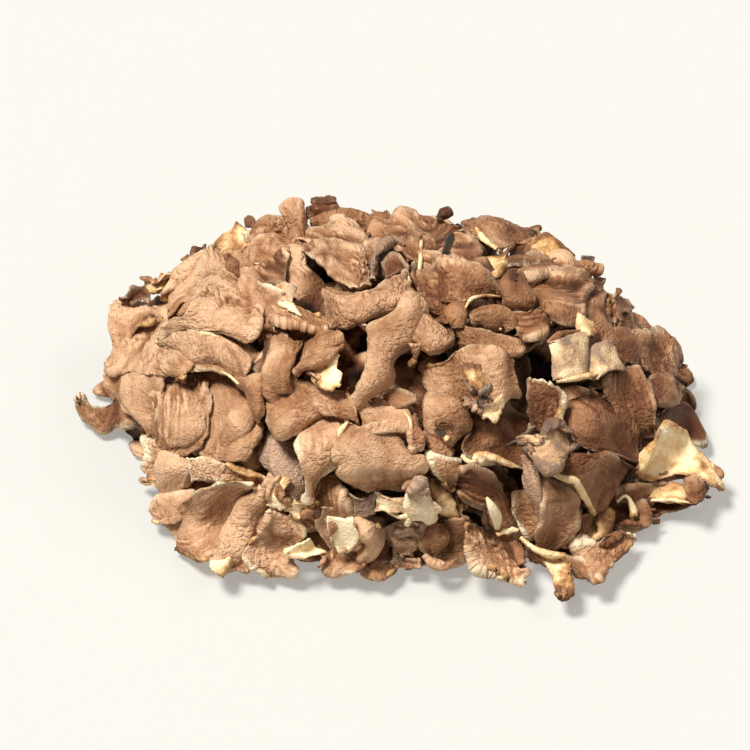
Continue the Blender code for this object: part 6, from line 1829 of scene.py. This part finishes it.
@dataclass(frozen=True)
class SkinFinish:
    """Dried mushroom skin: matte and leathery, tan to deep brown, with painted shade in its creases and dents
    and painted highlights on its crests and edges.
    """

    name: str = "dried_skin"
    deep: str = "#24130A"
    dark: str = "#6B3F24"
    middle: str = "#A67651"
    light: str = "#DBAE86"
    painted_crease_shade: str = "#6A452E"
    lilac: str = "#B09A88"
    cream: str = "#E8D5B0"
    roughness: float = 0.55
    # Waves in a metre: blotches of about 12 mm and rougher patches of about 17 mm.
    blotch_scale: float = 85.0
    patch_scale: float = 60.0
    # Waves in a mm: swerves of 3 mm, wrinkles of 2.2 mm, grain of 1.3 mm, cells of 1 mm and fine grain
    # of 0.5 mm.
    swerve_scale: float = 0.35
    wrinkle_scale: float = 0.45
    grain_scale: float = 0.75
    cell_scale: float = 1.05
    fine_scale: float = 2.2
    # The skin's pattern is a little longer than wide, and its ribs are long lines 0.6 mm apart.
    stretch: tuple[float, float, float] = (0.9, 1.15, 1.0)
    rib_stretch: tuple[float, float, float] = (1.7, 0.2, 1.0)
    # Depths of the wrinkles and of the fine grain, in metres.
    bump: float = 0.0006
    fine_bump: float = 0.0002

    def material(self) -> bpy.types.Material:
        """Builds the material.

        Returns:
            The material.
        """
        material, shader = new_material(self.name, {
            "Roughness": self.roughness, "IOR": 1.42, "Specular IOR Level": 0.3,
        })
        tree = material.node_tree
        place = add_node(tree, "ShaderNodeTexCoord").outputs["Object"]
        flat = attribute(tree, "flat")
        stretch = add_node(tree, "ShaderNodeMapping", {"Vector": flat, "Scale": self.stretch}).outputs[0]
        blotch = noise(tree, place, self.blotch_scale, 4.0, Roughness=0.6).outputs["Fac"]
        grain = noise(tree, stretch, self.grain_scale, 5.0, Roughness=0.6, Distortion=0.4).outputs["Fac"]
        color = self.color(tree, blotch, grain)
        tree.links.new(color, shader.inputs["Base Color"])
        bump = add_node(tree, "ShaderNodeBump", {"Strength": 1.0, "Distance": self.bump,
                                                 "Height": self.relief(tree, place, flat, stretch, grain)})
        fine = noise(tree, flat, self.fine_scale, 4.0).outputs["Fac"]
        bump = add_node(tree, "ShaderNodeBump", {"Strength": 1.0, "Distance": self.fine_bump, "Height": fine,
                                                 "Normal": bump.outputs[0]})
        tree.links.new(bump.outputs[0], shader.inputs["Normal"])
        return material

    def color(self, tree: bpy.types.NodeTree, blotch: bpy.types.NodeSocket,
              grain: bpy.types.NodeSocket) -> bpy.types.NodeSocket:
        """Colour from the frond's tone, its blotches, painted shade in the creases and dents, painted
        highlights on the crests, grey tint and pale rim.

        Args:
            tree: the node tree.
            blotch: the blotches.
            grain: the grain.

        Returns:
            The colour.
        """
        tone, margin, height = split(tree, "look")
        lilac, edge, _ = split(tree, "tint")
        shade = math_node(tree, "MULTIPLY_ADD", math_node(tree, "SUBTRACT", blotch, 0.5), 0.9, tone)
        # The relief adds painted shade in the dents and painted highlights on the crests.
        shade = math_node(tree, "ADD", height, shade)
        color = ramped(tree, math_node(tree, "MULTIPLY_ADD", shade, 0.5, 0.5), (
            (0.1, self.deep), (0.52, self.dark), (0.75, self.middle), (0.98, self.light),
        ))
        # Painted shade in the creases, where the grain and the bump are low.
        color = mixed(tree, ranged(tree, grain, (0.3, 0.5), (0.22, 0.0)), color, self.painted_crease_shade)
        color = mixed(tree, math_node(tree, "MULTIPLY", lilac, 0.7), color, self.lilac)
        # The pale rim at the margins is partly the fronds' own paler edge and partly a painted highlight
        # along the edges.
        rim = math_node(tree, "ADD", edge, 0.3)
        rim = math_node(tree, "MULTIPLY", rim, math_node(tree, "POWER", margin, 5.0))
        pale = ranged(tree, blotch, (0.42, 0.58), (0.1, 1.0))
        return mixed(tree, math_node(tree, "MULTIPLY", pale, rim), color, self.cream)

    def relief(self, tree: bpy.types.NodeTree, place: bpy.types.NodeSocket, flat: bpy.types.NodeSocket,
               stretch: bpy.types.NodeSocket, grain: bpy.types.NodeSocket) -> bpy.types.NodeSocket:
        """Height of the wrinkles, cells, ribs and grain.

        Args:
            tree: the node tree.
            place: place in the head in metres.
            flat: place on the flat sheet in mm.
            stretch: the same, stretched.
            grain: the grain.

        Returns:
            The height.
        """
        patch = noise(tree, place, self.patch_scale, 1.0).outputs["Fac"]
        patch = ranged(tree, patch, (0.42, 0.6), (0.15, 1.0))
        swerve = noise(tree, flat, self.swerve_scale, 2.0).outputs["Color"]
        swerve = add_node(tree, "ShaderNodeVectorMath", {0: swerve, 3: 1.8}, operation="SCALE").outputs[0]
        swerve = add_node(tree, "ShaderNodeVectorMath", {0: swerve, 1: stretch}, operation="ADD").outputs[0]
        wrinkles = cell_edges(tree, swerve, self.wrinkle_scale, 0.3)
        cells = cell_edges(tree, stretch, self.cell_scale, 0.35)
        ribs = add_node(tree, "ShaderNodeMapping", {"Vector": swerve, "Scale": self.rib_stretch}).outputs[0]
        ribs = noise(tree, ribs, 1.0, 3.0, Roughness=0.6).outputs["Fac"]
        relief = math_node(tree, "MULTIPLY_ADD", cells, 0.25, grain)
        relief = math_node(tree, "MULTIPLY_ADD", ribs, 0.6, relief)
        return math_node(tree, "MULTIPLY_ADD", math_node(tree, "MULTIPLY", wrinkles, patch), 0.7, relief)


@dataclass(frozen=True)
class PoreFinish:
    """Pored underside and broken flesh: chalky cream with fine pores and browned margins."""

    name: str = "cream_pores"
    cream: str = "#EAC793"
    pale: str = "#F6E0B6"
    browned: str = "#B98A57"
    brown: str = "#7A5439"
    grey: str = "#CDBFAC"
    roughness: float = 0.85
    # Waves in a metre: blotches of about 6 mm and pores of about 0.7 mm.
    blotch_scale: float = 170.0
    pore_scale: float = 1500.0
    # Depth of the pores in metres.
    bump: float = 0.0004

    def material(self) -> bpy.types.Material:
        """Builds the material.

        Returns:
            The material.
        """
        material, shader = new_material(self.name, {
            "Roughness": self.roughness, "IOR": 1.42, "Specular IOR Level": 0.25,
        })
        tree = material.node_tree
        place = add_node(tree, "ShaderNodeTexCoord").outputs["Object"]
        tone, margin, _ = split(tree, "look")
        lilac, _, hidden = split(tree, "tint")
        blotch = noise(tree, place, self.blotch_scale, 4.0, Roughness=0.6).outputs["Fac"]
        shade = math_node(tree, "MULTIPLY_ADD", tone, 0.5, math_node(tree, "MULTIPLY_ADD", blotch, 1.6, -0.6))
        shade = math_node(tree, "MULTIPLY_ADD", math_node(tree, "POWER", margin, 4.0), -0.2, shade)
        shade = math_node(tree, "MULTIPLY_ADD", hidden, -0.2, shade)
        color = ramped(tree, shade, (
            (0.12, self.brown), (0.3, self.browned), (0.5, self.cream), (0.75, self.pale),
        ))
        color = mixed(tree, math_node(tree, "MULTIPLY", lilac, 0.5), color, self.grey)
        tree.links.new(color, shader.inputs["Base Color"])
        pores = add_node(tree, "ShaderNodeTexVoronoi", {"Vector": place, "Scale": self.pore_scale})
        bump = add_node(tree, "ShaderNodeBump", {"Strength": 0.6, "Distance": self.bump,
                                                 "Height": pores.outputs["Distance"]})
        tree.links.new(bump.outputs[0], shader.inputs["Normal"])
        return material


@dataclass(frozen=True)
class CoreShadeFinish:
    """The branched inside of the head, seen only in its gaps: near black with painted shade, and dull."""

    name: str = "inner_painted_shade"
    color: str = "#2A190F"
    roughness: float = 0.9

    def material(self) -> bpy.types.Material:
        """Builds the material."""
        inputs = {"Base Color": linear(self.color), "Roughness": self.roughness, "Specular IOR Level": 0.2}
        return new_material(self.name, inputs)[0]


def finish_mesh(name: str, mesh: bmesh.types.BMesh, material: bpy.types.Material) -> bpy.types.Object:
    """Turns a bmesh into a linked object.

    Args:
        name: name of the object.
        mesh: the bmesh, which is freed.
        material: its one material.

    Returns:
        The object.
    """
    data = bpy.data.meshes.new(name)
    mesh.to_mesh(data)
    mesh.free()
    piece = bpy.data.objects.new(name, data)
    bpy.context.scene.collection.objects.link(piece)
    data.materials.append(material)
    return piece


@dataclass(frozen=True)
class Core:
    """The branched inside of the head and its stem with the flat cut, with sizes in mm.

    Attributes:
        dome: the dome that it fills.
        share: its half sizes as a share of the dome's.
        bottom: height of its widest line.
        sag: how far it sags below that.
        lump: size of its lumps.
        base_half_width: half of the width of the cut.
        base_half_depth: half of the depth of the cut.
        stem_height: height of the stem.
        stem_spread: how much wider the stem is at its top.
    """

    dome: Dome
    share: float = 0.8
    bottom: float = 5.0
    sag: float = 3.0
    lump: float = 3.0
    base_half_width: float = 24.0
    base_half_depth: float = 18.0
    stem_height: float = 16.0
    stem_spread: float = 1.45

    def build(self, flesh: bpy.types.Material) -> bpy.types.Object:
        """Models the core as a lumpy dome.

        Args:
            flesh: its material, near black with painted shade.

        Returns:
            The finished piece.
        """
        mesh = bmesh.new()
        made = bmesh.ops.create_icosphere(mesh, subdivisions=6, radius=1.0)["verts"]
        relief = Relief(SEED)
        ways = np.array([vert.co[:] for vert in made])
        turns = np.arctan2(ways[:, 1], ways[:, 0])
        lumps = relief.at(turns * 4.0 + 20.0, ways[:, 2] * 6.0 + 20.0)
        lumps = lumps + 0.5 * relief.at(turns * 9.0 + 30.0, ways[:, 2] * 14.0 + 30.0)
        sizes = self.share * self.dome.sizes[None, :] + self.lump * lumps[:, None]
        points = ways * sizes
        rise = np.where(ways[:, 2] > 0.0, sizes[:, 2] - self.bottom, self.sag)
        points[:, 2] = self.bottom + ways[:, 2] * rise
        for vert, point in zip(made, points * MM):
            vert.co = point
        for face in mesh.faces:
            face.smooth = True
        return finish_mesh("core", mesh, flesh)

    def build_stem(self, skin: bpy.types.Material) -> bpy.types.Object:
        """Models the short stem with its flat cut.

        Args:
            skin: its material.

        Returns:
            The finished piece.
        """
        mesh = bmesh.new()
        made = bmesh.ops.create_cone(mesh, cap_ends=True, segments=64, radius1=1.0, radius2=self.stem_spread,
                                     depth=self.stem_height)["verts"]
        for vert in made:
            turn = math.atan2(vert.co.y, vert.co.x)
            uneven = 1.0 + 0.05 * math.sin(3.0 * turn + 0.5) + 0.03 * math.sin(5.0 * turn)
            vert.co = Vector((
                vert.co.x * self.base_half_width * uneven * MM,
                vert.co.y * self.base_half_depth * uneven * MM,
                (vert.co.z + 0.5 * self.stem_height) * MM,
            ))
        return finish_mesh("stem", mesh, skin)


@dataclass(frozen=True)
class Lamp:
    """A far lamp.

    Attributes:
        name: its name.
        way: where its light comes from.
        spread: its width as seen from the head, in degrees.
        power: watts on a square metre.
    """

    name: str
    way: tuple[float, float, float]
    spread: float
    power: float

    def build(self) -> None:
        """Adds the lamp."""
        lamp = bpy.data.lights.new(self.name, "SUN")
        lamp.energy = self.power
        lamp.angle = math.radians(self.spread)
        thing = bpy.data.objects.new(self.name, lamp)
        thing.location = self.way
        thing.rotation_euler = (-Vector(self.way)).to_track_quat("-Z", "Y").to_euler()
        bpy.context.scene.collection.objects.link(thing)


@dataclass(frozen=True)
class Studio:
    """Pale floor, soft light and the camera at the front, looking down at the head.

    Attributes:
        frame_width_mm: width of the picture at the cut base.
        photo_px: width of the picture in pixels.
        origin_px: where the cut base stands in the picture.
        lens: focal length in mm.
        sensor: width of the sensor in mm.
        floor_size: size of the floor in metres.
        floor_color: its colour.
        floor_painted_glow: colour of the painted glow that it gives off, which lifts the shadows cast on it.
        floor_painted_glow_strength: strength of that glow.
        sky: colour of the light from all around.
        sky_strength: strength of that light.
        lamps: the lamps.
    """

    frame_width_mm: float = 210.3
    photo_px: float = 750.0
    origin_px: tuple[float, float] = (399.0, 423.0)
    lens: float = 600.0
    sensor: float = 36.0
    floor_size: float = 30.0
    floor_color: str = "#9B9993"
    floor_painted_glow: str = "#FCF9F0"
    floor_painted_glow_strength: float = 0.35
    sky: tuple[float, float, float, float] = (1.0, 0.98, 0.95, 1.0)
    sky_strength: float = 0.22
    lamps: tuple[Lamp, ...] = (
        Lamp("key", (-0.36, 0.02, 0.93), 18.0, 5.1),
        Lamp("fill", (0.6, 0.1, 0.7), 25.0, 0.7),
    )

    def add_camera(self) -> None:
        """Adds the camera so that the cut base stands where it does in the picture."""
        camera = bpy.data.cameras.new("camera")
        camera.lens = self.lens
        camera.sensor_width = self.sensor
        camera.clip_start = 0.01
        thing = bpy.data.objects.new("camera", camera)
        bpy.context.scene.collection.objects.link(thing)
        px = self.frame_width_mm / self.photo_px
        middle = 0.5 * self.photo_px
        aim = np.array([(middle - self.origin_px[0]) * px, 0.0, 0.0])
        aim = aim + RISE * (self.origin_px[1] - middle) * px
        distance = self.frame_width_mm * self.lens / self.sensor
        thing.location = Vector((aim - SIGHT * distance) * MM)
        thing.rotation_euler = Vector(SIGHT).to_track_quat("-Z", "Y").to_euler()
        bpy.context.scene.camera = thing

    def add_floor(self) -> None:
        """Adds the pale floor."""
        mesh = bmesh.new()
        bmesh.ops.create_grid(mesh, x_segments=1, y_segments=1, size=self.floor_size)
        # The floor's glow is painted light that lifts the shadows cast on it.
        paint, _ = new_material("pale_floor", {
            "Base Color": linear(self.floor_color),
            "Emission Color": linear(self.floor_painted_glow),
            "Emission Strength": self.floor_painted_glow_strength,
            "Roughness": 0.9,
        })
        floor = finish_mesh("floor", mesh, paint)

    def build(self) -> None:
        """Adds floor, world, lamps and camera."""
        self.add_floor()
        scene = bpy.context.scene
        world = bpy.data.worlds.new("studio")
        world.use_nodes = True
        world.node_tree.nodes["Background"].inputs[0].default_value = self.sky
        world.node_tree.nodes["Background"].inputs[1].default_value = self.sky_strength
        scene.world = world
        scene.view_settings.view_transform = "Standard"
        for lamp in self.lamps:
            lamp.build()
        self.add_camera()


def front_pieces(dome: Dome, skin: bpy.types.Material, pores: bpy.types.Material) -> list[bpy.types.Object]:
    """Builds the listed sheets of the front, and the lower ones that show past their edges, darker with
    painted shade.

    Args:
        dome: the dome that they stand out of.
        skin: material of the upper side.
        pores: material of the underside.

    Returns:
        The pieces.
    """
    pieces = []
    for group, (name, sheets) in enumerate(SHEET_GROUPS.items()):
        chance = random.Random(SEED + group)
        upper, lower = [], []
        for k, sheet in enumerate(sheets):
            seed = 1000 * (group + 1) + k
            if isinstance(sheet, Fold):
                upper.append(Strip(sheet, dome, seed))
                continue
            upper.append(Panel(sheet, dome, seed))
            under = Below().face(sheet, chance)
            if not (over_hollow(under) or near_outline(under)):
                lower.append(Panel(under, dome, seed + 500, spacing=0.9))
        pieces.append(FrondPiece(name, upper).build(skin, pores))
        pieces.append(FrondPiece(name + "_below", lower).build(skin, pores))
    return pieces


def main() -> None:
    """Builds and dresses the head, then the studio."""
    logging.basicConfig(level=logging.INFO)
    dome = Dome()
    maker = FrondMaker(dome)
    skin = SkinFinish().material()
    pores = PoreFinish().material()
    # The core's near-black colour is painted shade deep in the head.
    flesh = CoreShadeFinish().material()
    pieces = front_pieces(dome, skin, pores)
    pieces.append(FrondPiece("fronds_inner", maker.inner()).build(skin, skin))
    chance = random.Random(SEED)
    for number, ring in enumerate(FAR_RINGS):
        blades = maker.far_ring(number, ring, chance)
        pieces.append(FrondPiece(f"fronds_far_{number}", blades).build(skin, pores))
    core = Core(dome)
    pieces.append(core.build(flesh))
    pieces.append(core.build_stem(skin))
    for piece in pieces:
        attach(piece, "root")
        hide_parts("maitake_head")
        LOG.info("%s: %d vertices", piece.name, len(piece.data.vertices))
    Studio().build()


if __name__ == "__main__":
    main()
